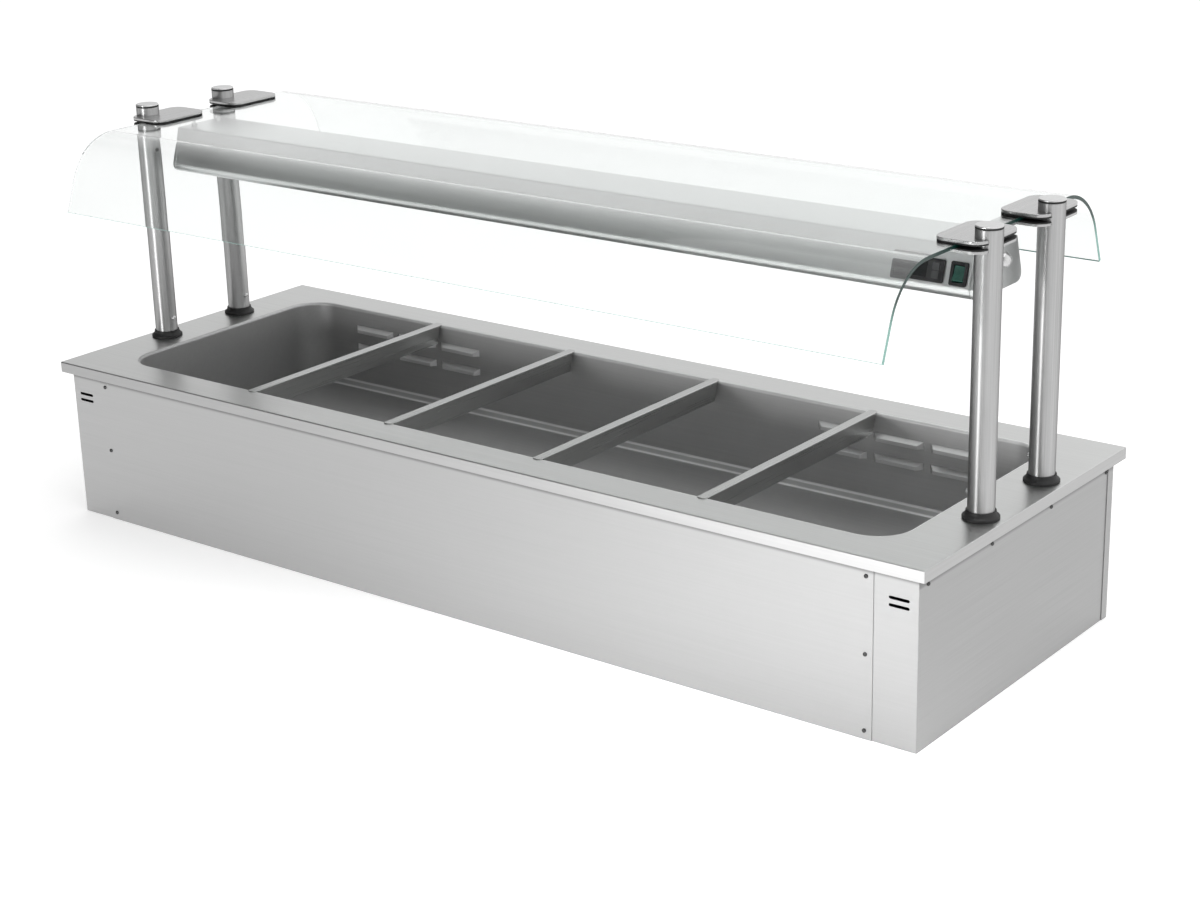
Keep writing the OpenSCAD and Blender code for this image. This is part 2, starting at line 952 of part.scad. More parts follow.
module fan_impeller_left() {
  at_fan(-1) impeller();
}

module fan_impeller_right() {
  at_fan(1) impeller();
}

module temperature_probe() {
  color("silver")
    at_duct(1) translate([0, heater_y, 0]) {
      translate([duct_l / 2 - probe_l, 0, 0])
        rotate([0, 90, 0]) cylinder(d = probe_d, h = probe_l + heater_stub);
      fitting(fitting_d);
    }
}

module terminal_box() {
  color("whitesmoke")
    translate([box_x, box_y, panel_t])
      linear_extrude(box_size.z) rounded(box_size.x, box_size.y, box_r);
}

// Rubber grommet in the rear panel, with a lip on both faces and the cord's bore
module cable_gland() {
  color("black")
    translate([box_x, case_y - panel_t / 2, cord_z])
      rotate([90, 0, 0])
        rotate_extrude()
          difference() {
            union() {
              translate([0, -panel_t / 2 - gland_lip_t])
                square([gland_d / 2, panel_t + 2 * gland_lip_t]);
              for (z = [-panel_t / 2 - gland_lip_t, panel_t / 2])
                translate([0, z]) square([gland_d / 2 + gland_lip, gland_lip_t]);
            }
            translate([-past, -panel_t / 2 - gland_lip_t - past])
              square([cord_d / 2 + past, panel_t + 2 * (gland_lip_t + past)]);
          }
}

// Posts

// Tube with the set screw's hole towards the well
module post_tube(wired) {
  color("silver")
    difference() {
      translate([0, 0, top_h]) cylinder(d = post_d, h = tube_top - top_h);
      translate([0, 0, top_h - past]) cylinder(r = tube_in, h = tube_top - top_h + 2 * past);
      translate([0, 0, top_h + set_screw_z])
        rotate([0, -90, 0]) cylinder(d = set_screw_d + 2 * fit, h = post_d);
      if (wired)
        translate([0, 0, face_z + cable_hole])
          rotate([0, -90, 0]) cylinder(d = cable_hole, h = post_d);
    }
}

module post_front_left() {
  translate([-post_x, post_y[0], 0]) mirror([1, 0, 0]) post_tube(true);
}

module post_front_right() {
  translate([post_x, post_y[0], 0]) post_tube(false);
}

module post_rear_left() {
  translate([-post_x, post_y[1], 0]) mirror([1, 0, 0]) post_tube(false);
}

module post_rear_right() {
  translate([post_x, post_y[1], 0]) post_tube(false);
}

// Plug in the post's foot, with the stud that goes through the worktop
module post_feet() {
  plug_r = tube_in - fit;
  stud_l = top_t + plate_t + nut_h + stud_over;
  color("gray")
    at_posts()
      translate([0, 0, top_h]) {
        difference() {
          cylinder(r = plug_r, h = plug_h);
          translate([0, 0, set_screw_z])
            rotate([0, -90, 0]) cylinder(d = set_screw_d + 2 * fit, h = post_d);
        }
        translate([0, 0, -stud_l]) cylinder(d = stud_d, h = stud_l + past);
      }
}

// One plate under the worktop at each end, which both posts are bolted to
module post_plates() {
  plate_out = inner_x - frame_flange - past;
  plate_in = post_x - plate_margin;
  color("gray")
    both_x()
      difference() {
        translate([plate_in, post_y[0] - plate_margin, sheet_z - plate_t])
          cube([plate_out - plate_in, post_pitch + 2 * plate_margin, plate_t]);
        for (y = post_y)
          translate([post_x, y, sheet_z - plate_t - past])
            cylinder(d = stud_d + 2 * stud_gap, h = plate_t + 2 * past);
      }
}

module post_nuts() {
  color("silver")
    at_posts()
      translate([0, 0, sheet_z - plate_t - nut_h]) hex_nut(nut_af, nut_h, stud_d + 2 * fit);
}

// Flared collar: an upright foot, then a hollow curve up to a narrow top
module post_collars() {
  bore_r = post_d / 2 + fit;
  low_r = post_d / 2 + collar_low;
  high_r = post_d / 2 + collar_high;
  flare_r = collar_h - collar_foot;
  color("black")
    at_posts()
      translate([0, 0, top_h])
        rotate_extrude()
          difference() {
            translate([bore_r, 0]) square([low_r - bore_r, collar_h]);
            translate([high_r + flare_r, collar_h]) circle(flare_r);
            translate([high_r + flare_r, collar_foot]) square([low_r, collar_h]);
          }
}

module post_screws() {
  color("whitesmoke")
    at_posts()
      translate([-post_d / 2, 0, top_h + set_screw_z])
        rotate([0, -90, 0]) screw(set_screw_d, 2 * post_t, set_screw_head, set_screw_d);
}

module post_rings() {
  color("black")
    at_posts()
      translate([0, 0, tube_top])
        difference() {
          cylinder(r = post_d / 2 + fit, h = ring_h);
          translate([0, 0, -past]) cylinder(r = tube_in, h = ring_h + 2 * past);
        }
}

// Cap with a rounded edge and a plug that goes through the ring into the tube
module post_caps() {
  cap_r = post_d / 2 + fit;
  color("silver")
    at_posts()
      translate([0, 0, tube_top + ring_h])
        rotate_extrude() {
          square([cap_r, cap_h - cap_round]);
          square([cap_r - cap_round, cap_h]);
          translate([cap_r - cap_round, cap_h - cap_round])
            intersection() {
              circle(cap_round);
              square(cap_round);
            }
          translate([0, -cap_plug]) square([tube_in - fit, cap_plug]);
        }
}

// Glass and its clamps

// Half of the glass's section, from its middle: flat, bend and straight end
module glass_half() {
  reach = 2 * bend_r;
  translate([-past, -glass_t]) square([flat_half + past, glass_t]);
  translate([flat_half, -bend_r]) {
    intersection() {
      difference() {
        circle(bend_r);
        circle(bend_r - glass_t);
      }
      polygon([[0, 0], [0, reach], [reach, reach], [reach, reach / tan(bend_a)]]);
    }
    rotate(-bend_a)
      translate([0, bend_r - glass_t]) square([tail_l, glass_t]);
  }
}

module at_bolts() {
  at_posts()
    translate([-bolt_in, clamp_back, 0]) children();
}

module glass_canopy() {
  color([0.8, 0.95, 0.9, 0.35])
    difference() {
      translate([0, upper_y, glass_top])
        along_x(2 * glass_x) {
          glass_half();
          mirror([1, 0]) glass_half();
        }
      at_bolts()
        translate([0, 0, glass_top - glass_t - past])
          cylinder(d = boss_d + 2 * boss_gap, h = glass_t + 2 * past);
    }
}

// Outline of a clamp, from the post's axis, with an open seat round the tube
module clamp_outline() {
  difference() {
    translate([clamp_over - clamp_l / 2, clamp_back]) rounded(clamp_l, clamp_w, clamp_r);
    circle(post_d / 2 + fit);
  }
}

// Upper plate with a boss that goes through the glass and takes the bolt
module clamp_plates() {
  boss_h = 2 * gasket_t + glass_t - past;
  color("silver")
    difference() {
      union() {
        at_posts() translate([0, 0, clamp_z]) linear_extrude(clamp_t) clamp_outline();
        at_bolts() translate([0, 0, clamp_z - boss_h]) cylinder(d = boss_d, h = boss_h + past);
      }
      at_bolts()
        translate([0, 0, clamp_z - boss_h - past])
          cylinder(d = bolt_d + 2 * fit, h = boss_h + clamp_t / 2 + past);
    }
}

module gasket() {
  difference() {
    linear_extrude(gasket_t) clamp_outline();
    translate([-bolt_in, clamp_back, -past])
      cylinder(d = boss_d + 2 * fit, h = gasket_t + 2 * past);
  }
}

module clamp_gaskets() {
  color("black")
    at_posts()
      for (z = [glass_top, glass_top - glass_t - gasket_t])
        translate([0, 0, z]) gasket();
}

// Lower jaws. Those at the back have a lug towards the front for the hanger.
module clamp_jaws() {
  color("gray")
    translate([0, 0, jaw_z])
      difference() {
        union() {
          at_posts() linear_extrude(jaw_t) clamp_outline();
          both_x()
            translate([hanger_x, hanger_y[1], 0])
              linear_extrude(jaw_t) {
                circle(d = lug_w);
                translate([-lug_w / 2, 0])
                  square([lug_w, post_y[1] + clamp_back - hanger_y[1]]);
              }
        }
        at_bolts()
          translate([0, 0, -past]) cylinder(d = bolt_d + 2 * fit, h = jaw_t + 2 * past);
      }
}

module clamp_bolts() {
  grip = jaw_t + 2 * gasket_t + glass_t;
  color("silver")
    at_bolts()
      translate([0, 0, jaw_z])
        mirror([0, 0, 1]) screw(bolt_d, grip, bolt_head, bolt_head_h);
}

// Gantry

// Section of the gantry, inset from its outer face, with its corners eased by extra_r
module gantry_outline(inset, extra_r = 0) {
  low_r = gantry_r + extra_r;
  high_r = gantry_fold + extra_r;
  rounded_polygon(
    [[-gantry_foot, 0], [gantry_foot, 0], [gantry_head, gantry_h], [-gantry_head, gantry_h]],
    [low_r, low_r, high_r, high_r], inset);
}

module at_gantry() {
  translate([0, upper_y, gantry_z]) children();
}

module at_hangers() {
  both_x()
    for (y = hanger_y) translate([hanger_x, y, 0]) children();
}

// Places of the domed bolts, with x along the gantry from its middle
module at_domes() {
  at_gantry()
    for (y = [-dome_y, dome_y]) translate([0, y, dome_z]) rotate([0, 90, 0]) children();
}

module gantry_body() {
  color("silver")
    difference() {
      at_gantry() {
        along_x(2 * body_x)
          difference() {
            gantry_outline(0);
            gantry_outline(gantry_t);
            square([gantry_mouth, 4 * gantry_t], center = true);
          }
        both_x()
          translate([wall_x, 0, 0]) along_x(gantry_t)
            difference() {
              gantry_outline(gantry_t / 2);
              square([gantry_mouth, 4 * gantry_t], center = true);
            }
      }
      on_face(gantry_x - ctrl_end)
        cube([ctrl_l - 2 * ctrl_inset + 2 * cut_gap, ctrl_h - 2 * ctrl_inset + 2 * cut_gap,
              8 * gantry_t], center = true);
      on_face(gantry_x - switch_end)
        cube([switch_body_l + 2 * cut_gap, switch_body_h + 2 * cut_gap, 8 * gantry_t],
             center = true);
      at_hangers()
        translate([0, 0, gantry_top - 2 * gantry_t])
          cylinder(d = hanger_d + 2 * hanger_gap, h = 3 * gantry_t);
      both_x()
        translate([wall_x, 0, 0])
          at_domes() cylinder(d = dome_bolt + 2 * fit, h = 4 * gantry_t, center = true);
    }
}

module gantry_hangers() {
  rod_low = gantry_top - gantry_t - hanger_nut_h - stud_over;
  color("silver")
    at_hangers() {
      translate([0, 0, rod_low]) cylinder(d = hanger_d, h = jaw_z - rod_low);
      for (z = [gantry_top, gantry_top - gantry_t - hanger_nut_h])
        translate([0, 0, z]) hex_nut(hanger_nut_af, hanger_nut_h, hanger_d + 2 * fit);
    }
}

// End cap: a plate over the end of the body and a lip that centres it
module gantry_end() {
  lip = gantry_t + lip_gap;
  color("lightgray")
    difference() {
      at_gantry() {
        translate([body_x + cap_t / 2, 0, 0]) along_x(cap_t) gantry_outline(0);
        translate([body_x - lip_in / 2, 0, 0])
          along_x(lip_in + past)
            difference() {
              gantry_outline(lip);
              gantry_outline(lip + lip_t, lip_t);
            }
      }
      translate([body_x, 0, 0])
        at_domes() cylinder(d = dome_bolt + 2 * fit, h = 4 * cap_t, center = true);
    }
}

module gantry_end_left() {
  mirror([1, 0, 0]) gantry_end();
}

module gantry_end_right() {
  gantry_end();
}

// Long bolts with domed heads, from the caps to the inner walls
module gantry_end_bolts() {
  color("whitesmoke")
    both_x()
      translate([gantry_x, 0, 0])
        at_domes()
          screw(dome_bolt, gantry_x - wall_x + 2 * gantry_t, dome_d, dome_h);
}

// Wire guard under the lamps: two rails on the gantry's lips and wires across
module lamp_guard() {
  pitch = 2 * (guard_x - wire_d) / (wires - 1);
  color("silver")
    at_gantry()
      translate([0, 0, gantry_t]) {
        both_y()
          translate([-guard_x, guard_w / 2 - rail_w, 0]) cube([2 * guard_x, rail_w, rail_t]);
        for (i = [0:wires - 1])
          translate([(i - (wires - 1) / 2) * pitch, 0, wire_d / 2])
            rotate([90, 0, 0])
              cylinder(d = wire_d, h = guard_w - rail_w, center = true);
      }
}

// Section of the reflector between its flanges, inset from its outer face
module reflector_section(inset) {
  polygon([
    [-reflector_foot + inset, -2 * inset], [reflector_foot - inset, -2 * inset],
    [reflector_head - inset, reflector_h - inset], [-reflector_head + inset, reflector_h - inset]
  ]);
}

module lamp_reflector() {
  color("whitesmoke")
    translate([0, upper_y, reflector_z])
      along_x(2 * guard_x)
        difference() {
          union() {
            reflector_section(0);
            translate([-guard_w / 2, 0]) square([guard_w, reflector_t]);
          }
          reflector_section(reflector_t);
        }
}

module at_lamps() {
  for (i = [0:lamps - 1])
    translate([(i - (lamps - 1) / 2) * lamp_pitch, upper_y, lamp_z]) children();
}

// Ceramic blocks that hang from the reflector's top and hold the lamps' ends
module lamp_holders() {
  hang = reflector_z + reflector_h - reflector_t - lamp_z;
  color("wheat")
    at_lamps() both_x()
      difference() {
        translate([lamp_l / 2 - holder_grip, -holder_size.y / 2, hang - holder_size.z])
          cube(holder_size);
        rotate([0, 90, 0]) cylinder(d = lamp_d + 2 * fit, h = lamp_l / 2);
      }
}

module quartz_lamps() {
  color([1, 0.9, 0.75])
    at_lamps() rotate([0, 90, 0]) cylinder(d = lamp_d, h = lamp_l, center = true);
}

// Controls

module bezel(l, h, t) {
  linear_extrude(t) rounded(l, h, ctrl_r);
}

module at_key(row) {
  on_face(gantry_x - ctrl_end)
    translate([key_x, row * key_pitch / 2, 0]) children();
}

module controller() {
  color("dimgray")
    difference() {
      on_face(gantry_x - ctrl_end) {
        bezel(ctrl_l, ctrl_h, bezel_t);
        translate([0, 0, -ctrl_depth / 2])
          cube([ctrl_l - 2 * ctrl_inset, ctrl_h - 2 * ctrl_inset, ctrl_depth], center = true);
      }
      on_face(gantry_x - ctrl_end)
        translate([display_x, 0, bezel_t])
          cube([display_l + 2 * fit, display_h + 2 * fit, 2 * display_t], center = true);
      for (row = [-1, 1])
        at_key(row)
          translate([0, 0, bezel_t - key_depth])
            linear_extrude(key_depth + past)
              rounded(key_w + 2 * run_fit, key_h + 2 * run_fit, key_r + run_fit);
    }
}

module controller_display() {
  color("black")
    on_face(gantry_x - ctrl_end)
      translate([display_x, 0, bezel_t - display_t / 2])
        cube([display_l, display_h, display_t], center = true);
}

module key(row) {
  rest = bezel_t - key_depth + key_travel + fit;
  color("gray")
    at_key(row)
      translate([0, 0, rest])
        linear_extrude(bezel_t + key_out - rest) rounded(key_w, key_h, key_r);
}

module key_up() {
  key(1);
}

module key_down() {
  key(-1);
}

module switch_housing() {
  color("dimgray")
    on_face(gantry_x - switch_end)
      difference() {
        union() {
          bezel(switch_l, switch_h, switch_bezel_t);
          translate([0, 0, -switch_depth / 2])
            cube([switch_body_l, switch_body_h, switch_depth], center = true);
        }
        translate([0, 0, rocker_pivot])
          cube([rocker_l + 2 * rocker_gap, 2 * (rocker_r + rocker_gap), rocker_room],
               center = true);
        translate([0, 0, rocker_pivot])
          rotate([0, 90, 0])
            cylinder(d = pin_d + 2 * run_fit, h = rocker_l + 2 * (rocker_gap + pin_l),
                     center = true);
      }
}

// Rocker with a shallow V on top, at rest on one side of its pins
module switch_rocker() {
  rise = rocker_r * tan(rocker_tilt);
  color("seagreen")
    on_face(gantry_x - switch_end)
      translate([0, 0, rocker_pivot])
        rotate([-rocker_tilt, 0, 0]) {
          along_x(rocker_l)
            intersection() {
              circle(rocker_r);
              polygon([
                [-rocker_r, rocker_low - rocker_pivot], [rocker_r, rocker_low - rocker_pivot],
                [rocker_r, rocker_mid - rocker_pivot + rise], [0, rocker_mid - rocker_pivot],
                [-rocker_r, rocker_mid - rocker_pivot + rise]
              ]);
            }
          rotate([0, 90, 0])
            cylinder(d = pin_d, h = rocker_l + 2 * (rocker_gap + pin_l - fit), center = true);
        }
}

worktop();
well_tank();
louvre_plate_left();
louvre_plate_right();
divider_bar(1);  // divider_bar_1
divider_bar(2);  // divider_bar_2
divider_bar(3);  // divider_bar_3
divider_bar(4);  // divider_bar_4
front_panel();
side_panel_left();
side_panel_right();
rear_panel();
base_tray();
top_frame();
front_screws();
casing_screws();
tank_supports();
floor_insulation();
wall_insulation();
air_duct_left();
air_duct_right();
duct_heaters();
fan_frames();
fan_impeller_left();
fan_impeller_right();
temperature_probe();
terminal_box();
cable_gland();
post_front_left();
post_front_right();
post_rear_left();
post_rear_right();
post_feet();
post_plates();
post_nuts();
post_collars();
post_screws();
post_rings();
post_caps();
glass_canopy();
clamp_plates();
clamp_gaskets();
clamp_jaws();
clamp_bolts();
gantry_hangers();
gantry_body();
gantry_end_left();
gantry_end_right();
gantry_end_bolts();
lamp_guard();
lamp_reflector();
lamp_holders();
quartz_lamps();
controller();
controller_display();
key_up();
key_down();
switch_housing();
switch_rocker();
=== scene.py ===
import math

import bmesh
import bpy
from mathutils import Matrix, Vector


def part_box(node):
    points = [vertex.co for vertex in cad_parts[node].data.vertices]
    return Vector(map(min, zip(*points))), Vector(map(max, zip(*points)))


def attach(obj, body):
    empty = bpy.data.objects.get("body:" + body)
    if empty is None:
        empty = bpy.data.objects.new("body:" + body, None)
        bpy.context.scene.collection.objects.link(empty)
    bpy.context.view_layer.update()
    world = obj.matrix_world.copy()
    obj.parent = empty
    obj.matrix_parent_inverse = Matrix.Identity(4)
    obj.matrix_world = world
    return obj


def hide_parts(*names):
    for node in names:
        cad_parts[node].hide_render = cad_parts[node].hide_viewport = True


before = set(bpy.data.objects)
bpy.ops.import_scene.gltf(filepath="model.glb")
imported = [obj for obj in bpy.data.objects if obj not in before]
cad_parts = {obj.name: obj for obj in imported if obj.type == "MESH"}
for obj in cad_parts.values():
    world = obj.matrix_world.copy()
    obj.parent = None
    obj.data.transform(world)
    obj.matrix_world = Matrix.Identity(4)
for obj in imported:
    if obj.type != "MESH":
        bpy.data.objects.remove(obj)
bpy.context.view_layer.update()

# Camera. It stands to the right in front of the well, a little above the posts, and
# looks down along the well to its far left corner with a long lens.
eye = (2.51485, -3.09636, 1.59755)
turn_left, look_down, tip = 0.663, 0.337, -0.026
camera = bpy.data.objects.new("camera", bpy.data.cameras.new("camera"))
camera.data.lens = 71.476
camera.data.sensor_width = 36
camera.data.clip_end = 200
camera.matrix_world = (
    Matrix.Translation(eye) @ Matrix.Rotation(turn_left, 4, "Z")
    @ Matrix.Rotation(math.pi / 2 - look_down, 4, "X") @ Matrix.Rotation(tip, 4, "Z"))
bpy.context.collection.objects.link(camera)
bpy.context.scene.camera = camera

# Studio. A bright room that is dim towards the front left, so that round steel gets a
# dark side. A low lamp far out in front draws a bright line on each post.
bpy.context.scene.view_settings.view_transform = "Standard"
dim_side = (-0.7, -0.7, 0)
room_bands = [(0.0, 1.2), (0.25, 1.2), (0.42, 0.98), (0.5, 0.98), (0.62, 0.6), (0.7, 0.22),
              (1.0, 0.16)]
world = bpy.data.worlds.new("studio")
world.use_nodes = True
room = world.node_tree
way = room.nodes.new("ShaderNodeTexCoord")
along = room.nodes.new("ShaderNodeVectorMath")
along.operation = "DOT_PRODUCT"
along.inputs[1].default_value = dim_side
span = room.nodes.new("ShaderNodeMapRange")
span.inputs["From Min"].default_value = -1.0
bands = room.nodes.new("ShaderNodeValToRGB")
bands.color_ramp.interpolation = "EASE"
for index, (place, light) in enumerate(room_bands):
    elements = bands.color_ramp.elements
    element = elements[index] if index < 2 else elements.new(place)
    element.position = place
    element.color = (light, light, light, 1)
room.links.new(way.outputs["Generated"], along.inputs[0])
room.links.new(along.outputs["Value"], span.inputs["Value"])
room.links.new(span.outputs["Result"], bands.inputs["Fac"])
room.links.new(bands.outputs["Color"], room.nodes["Background"].inputs["Color"])
bpy.context.scene.world = world


def soft_lamp(name, place, aim, size, power, spread):
    """Adds a rectangular lamp that faces its aim and shines that many degrees wide."""
    light = bpy.data.lights.new(name, "AREA")
    light.shape = "RECTANGLE"
    light.size, light.size_y = size
    light.energy = power
    light.spread = math.radians(spread)
    lamp = bpy.data.objects.new(name, light)
    lamp.location = place
    lamp.rotation_euler = (Vector(aim) - Vector(place)).to_track_quat("-Z", "Y").to_euler()
    bpy.context.collection.objects.link(lamp)


soft_lamp("lamp_top", place=(0.0, 0.0, 4.2), aim=(0, 0, 0), size=(4.0, 3.0),
          power=18, spread=150)
soft_lamp("lamp_line", place=(-0.9, -6.3, 0.55), aim=(0, 0, 0.5), size=(1.05, 1.0),
          power=52, spread=120)
soft_lamp("lamp_low", place=(1.0, -1.2, 3.0), aim=(0.6, -0.9, 0), size=(0.8, 0.8),
          power=4, spread=40)

floor_size, floor_z = 40, -0.0005
bpy.ops.object.select_all(action="DESELECT")
bpy.ops.mesh.primitive_plane_add(size=floor_size, location=(0, 0, floor_z))
floor = bpy.context.object
floor.name = "floor"
bpy.ops.object.transform_apply(location=True)


def new_material(name):
    """Returns a node material, its tree and its shader."""
    material = bpy.data.materials.new(name)
    material.use_nodes = True
    tree = material.node_tree
    return material, tree, tree.nodes["Principled BSDF"]


def noise(tree, scale, detail=2.0):
    """Noise on the piece's own coordinates, squeezed by the scale along each axis."""
    place = tree.nodes.new("ShaderNodeTexCoord")
    squeeze = tree.nodes.new("ShaderNodeMapping")
    squeeze.inputs["Scale"].default_value = scale
    pattern = tree.nodes.new("ShaderNodeTexNoise")
    pattern.inputs["Scale"].default_value = 1.0
    pattern.inputs["Detail"].default_value = detail
    tree.links.new(place.outputs["Object"], squeeze.inputs["Vector"])
    tree.links.new(squeeze.outputs["Vector"], pattern.inputs["Vector"])
    return pattern.outputs["Fac"]


def vary_colour(tree, shader, pattern, low, high):
    """Runs the base colour from low to high over the middle of a pattern."""
    ramp = tree.nodes.new("ShaderNodeValToRGB")
    ramp.color_ramp.elements[0].position = 0.35
    ramp.color_ramp.elements[1].position = 0.65
    ramp.color_ramp.elements[0].color = (*low, 1)
    ramp.color_ramp.elements[1].color = (*high, 1)
    tree.links.new(pattern, ramp.inputs["Fac"])
    tree.links.new(ramp.outputs["Color"], shader.inputs["Base Color"])


def vary_roughness(tree, shader, pattern, low, high):
    """Runs the roughness from low to high over the middle of a pattern."""
    span = tree.nodes.new("ShaderNodeMapRange")
    span.inputs["From Min"].default_value = 0.3
    span.inputs["From Max"].default_value = 0.7
    span.inputs["To Min"].default_value = low
    span.inputs["To Max"].default_value = high
    tree.links.new(pattern, span.inputs["Value"])
    tree.links.new(span.outputs["Result"], shader.inputs["Roughness"])


def raise_surface(tree, shader, pattern, height, strength=1.0):
    """Bump of the given height in metres from a pattern."""
    bump = tree.nodes.new("ShaderNodeBump")
    bump.inputs["Distance"].default_value = height
    bump.inputs["Strength"].default_value = strength
    tree.links.new(pattern, bump.inputs["Height"])
    tree.links.new(bump.outputs["Normal"], shader.inputs["Normal"])


floor_paint, tree, shader = new_material("floor_paint")
shader.inputs["Roughness"].default_value = 0.85
shader.inputs["Specular IOR Level"].default_value = 0.1
shader.inputs["Emission Color"].default_value = (1, 1, 1, 1)
shader.inputs["Emission Strength"].default_value = 0.4
vary_colour(tree, shader, noise(tree, (0.8, 0.8, 0.8)), (0.86, 0.86, 0.86), (0.88, 0.88, 0.88))
floor.data.materials.append(floor_paint)

# Base tray and frame. The tray closes the casing below, hat channels stand on it under
# the well, and an angle frame under the worktop takes the panels' screws.


def paint_light_along(tree, shader, axis, stops):
    """Paints light and shade into the base colour by scaling it by a factor at each place along
    an axis, in metres.
    """
    place = tree.nodes.new("ShaderNodeTexCoord")
    split = tree.nodes.new("ShaderNodeSeparateXYZ")
    climb = tree.nodes.new("ShaderNodeMapRange")
    climb.inputs["From Min"].default_value = stops[0][0]
    climb.inputs["From Max"].default_value = stops[-1][0]
    ramp = tree.nodes.new("ShaderNodeValToRGB")
    for index, (spot, tone) in enumerate(stops):
        elements = ramp.color_ramp.elements
        part = (spot - stops[0][0]) / (stops[-1][0] - stops[0][0])
        element = elements[index] if index in (0, len(stops) - 1) else elements.new(part)
        element.position = part
        element.color = (tone, tone, tone, 1)
    scale = tree.nodes.new("ShaderNodeVectorMath")
    scale.operation = "MULTIPLY"
    tree.links.new(place.outputs["Object"], split.inputs["Vector"])
    tree.links.new(split.outputs[axis], climb.inputs["Value"])
    tree.links.new(climb.outputs["Result"], ramp.inputs["Fac"])
    tree.links.new(shader.inputs["Base Color"].links[0].from_socket, scale.inputs[0])
    tree.links.new(ramp.outputs["Color"], scale.inputs[1])
    tree.links.new(scale.outputs["Vector"], shader.inputs["Base Color"])


def brushed_steel(name, tone, roughness, grain, cloud=0.02, bump=0.000004, metal=1.0,
                  stops=(), stops_x=()):
    """Brushed sheet of a grey tone, with its lines along the grain's axis. The stops paint
    light and shade into the tone by height, and stops_x paints them along the counter."""
    material, tree, shader = new_material(name)
    shader.inputs["Metallic"].default_value = metal
    lines = noise(tree, [4 if axis == grain else 900 for axis in "XYZ"], detail=3.0)
    streaks = noise(tree, [3 if axis == grain else 260 for axis in "XYZ"], detail=4.0)
    vary_colour(tree, shader, streaks, [c * (1 - cloud) for c in tone],
                [c * (1 + cloud) for c in tone])
    for axis, places in (("Z", stops), ("X", stops_x)):
        if places:
            paint_light_along(tree, shader, axis, places)
    vary_roughness(tree, shader, lines, roughness - 0.06, roughness + 0.06)
    raise_surface(tree, shader, lines, bump)
    return material


def dress(material, *names):
    """Gives CAD nodes, whose shape stays, their finish."""
    for name in names:
        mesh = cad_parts[name].data
        mesh.materials.clear()
        mesh.materials.append(material)


steel_inner = brushed_steel("steel_inner", (0.45, 0.46, 0.47), 0.42, "Z", cloud=0.1)
dress(steel_inner, "base_tray", "top_frame", "tank_supports")

# Insulation. Slabs of pale mineral wool that keep the heat in, laid under the well and
# stood along its walls.


def moulded(name, colour, roughness, grain=2500, bump=0.00002):
    """Moulded plastic, rubber or wool with a fine grained skin."""
    material, tree, shader = new_material(name)
    vary_colour(tree, shader, noise(tree, (60, 60, 60)), [c * 0.9 for c in colour],
                [c * 1.1 for c in colour])
    skin = noise(tree, (grain, grain, grain), detail=1.0)
    vary_roughness(tree, shader, skin, roughness - 0.05, roughness + 0.05)
    raise_surface(tree, shader, skin, bump)
    return material


wool = moulded("wool", (0.62, 0.55, 0.36), 0.9, grain=300, bump=0.002)
dress(wool, "floor_insulation", "wall_insulation")

# Air heating. Folded boxes behind the louvres, each with an axial fan on a baffle and
# two tubular heaters, a probe in the right one, and the terminal box on the tray.
black_plastic = moulded("black_plastic", (0.014, 0.0145, 0.015), 0.45)
white_plastic = moulded("white_plastic", (0.75, 0.75, 0.73), 0.4)
black_rubber = moulded("black_rubber", (0.018, 0.018, 0.018), 0.7)
dress(steel_inner, "air_duct_left", "air_duct_right", "duct_heaters", "temperature_probe")
dress(black_plastic, "fan_frames", "fan_impeller_left", "fan_impeller_right")
dress(white_plastic, "terminal_box")
dress(black_rubber, "cable_gland")

# Well. A seamless tub of thin drawn sheet. Its rim rolls out of the worktop, and its
# walls turn into the floor over a slanted band between two soft bends.
tub_low, tub_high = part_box("well_tank")
tub_sheet = 0.0012
mouth_corner, corner_steps = 0.065, 20
rim_roll, rim_steps = 0.005, 5
band_leg = 0.012
band_bend = 0.005


def hold(piece):
    """Makes a piece the only one selected."""
    bpy.ops.object.select_all(action="DESELECT")
    piece.select_set(True)
    bpy.context.view_layer.objects.active = piece


def shape_with(piece, kind, **settings):
    """Puts a modifier on a piece and applies it."""
    hold(piece)
    modifier = piece.modifiers.new(kind.lower(), kind)
    for name, value in settings.items():
        setattr(modifier, name, value)
    bpy.ops.object.modifier_apply(modifier=modifier.name)


def choose(piece, kind, test):
    """Opens a piece for editing with the faces or edges selected that pass a test."""
    hold(piece)
    bpy.ops.object.mode_set(mode="EDIT")
    bpy.ops.mesh.select_mode(type=kind)
    bpy.ops.mesh.select_all(action="DESELECT")
    mesh = bmesh.from_edit_mesh(piece.data)
    for item in mesh.faces if kind == "FACE" else mesh.edges:
        item.select_set(test(item))
    bmesh.update_edit_mesh(piece.data)


def close_edit():
    """Ends the editing of a piece."""
    bpy.ops.object.mode_set(mode="OBJECT")


def lies_at(axis, place):
    """Tests for an edge or face whose corners all share one coordinate."""
    return lambda item: all(abs(corner.co[axis] - place) < 1e-5 for corner in item.verts)


def stands_along(axis):
    """Tests for an edge that runs along an axis."""
    def test(edge):
        run = edge.verts[0].co - edge.verts[1].co
        return abs(run[axis]) > 0.999 * run.length
    return test


def block(name, low, high):
    """Adds a block between two corners."""
    bpy.ops.object.select_all(action="DESELECT")
    bpy.ops.mesh.primitive_cube_add(size=1)
    piece = bpy.context.object
    piece.name = name
    piece.location = (Vector(low) + Vector(high)) / 2
    piece.scale = Vector(high) - Vector(low)
    bpy.ops.object.transform_apply(location=True, rotation=True, scale=True)
    return piece


def round_edges(piece, test, radius, segments):
    """Rounds the edges that pass a test."""
    choose(piece, "EDGE", test)
    bpy.ops.mesh.bevel(offset=radius, segments=segments, affect="EDGES")
    close_edit()


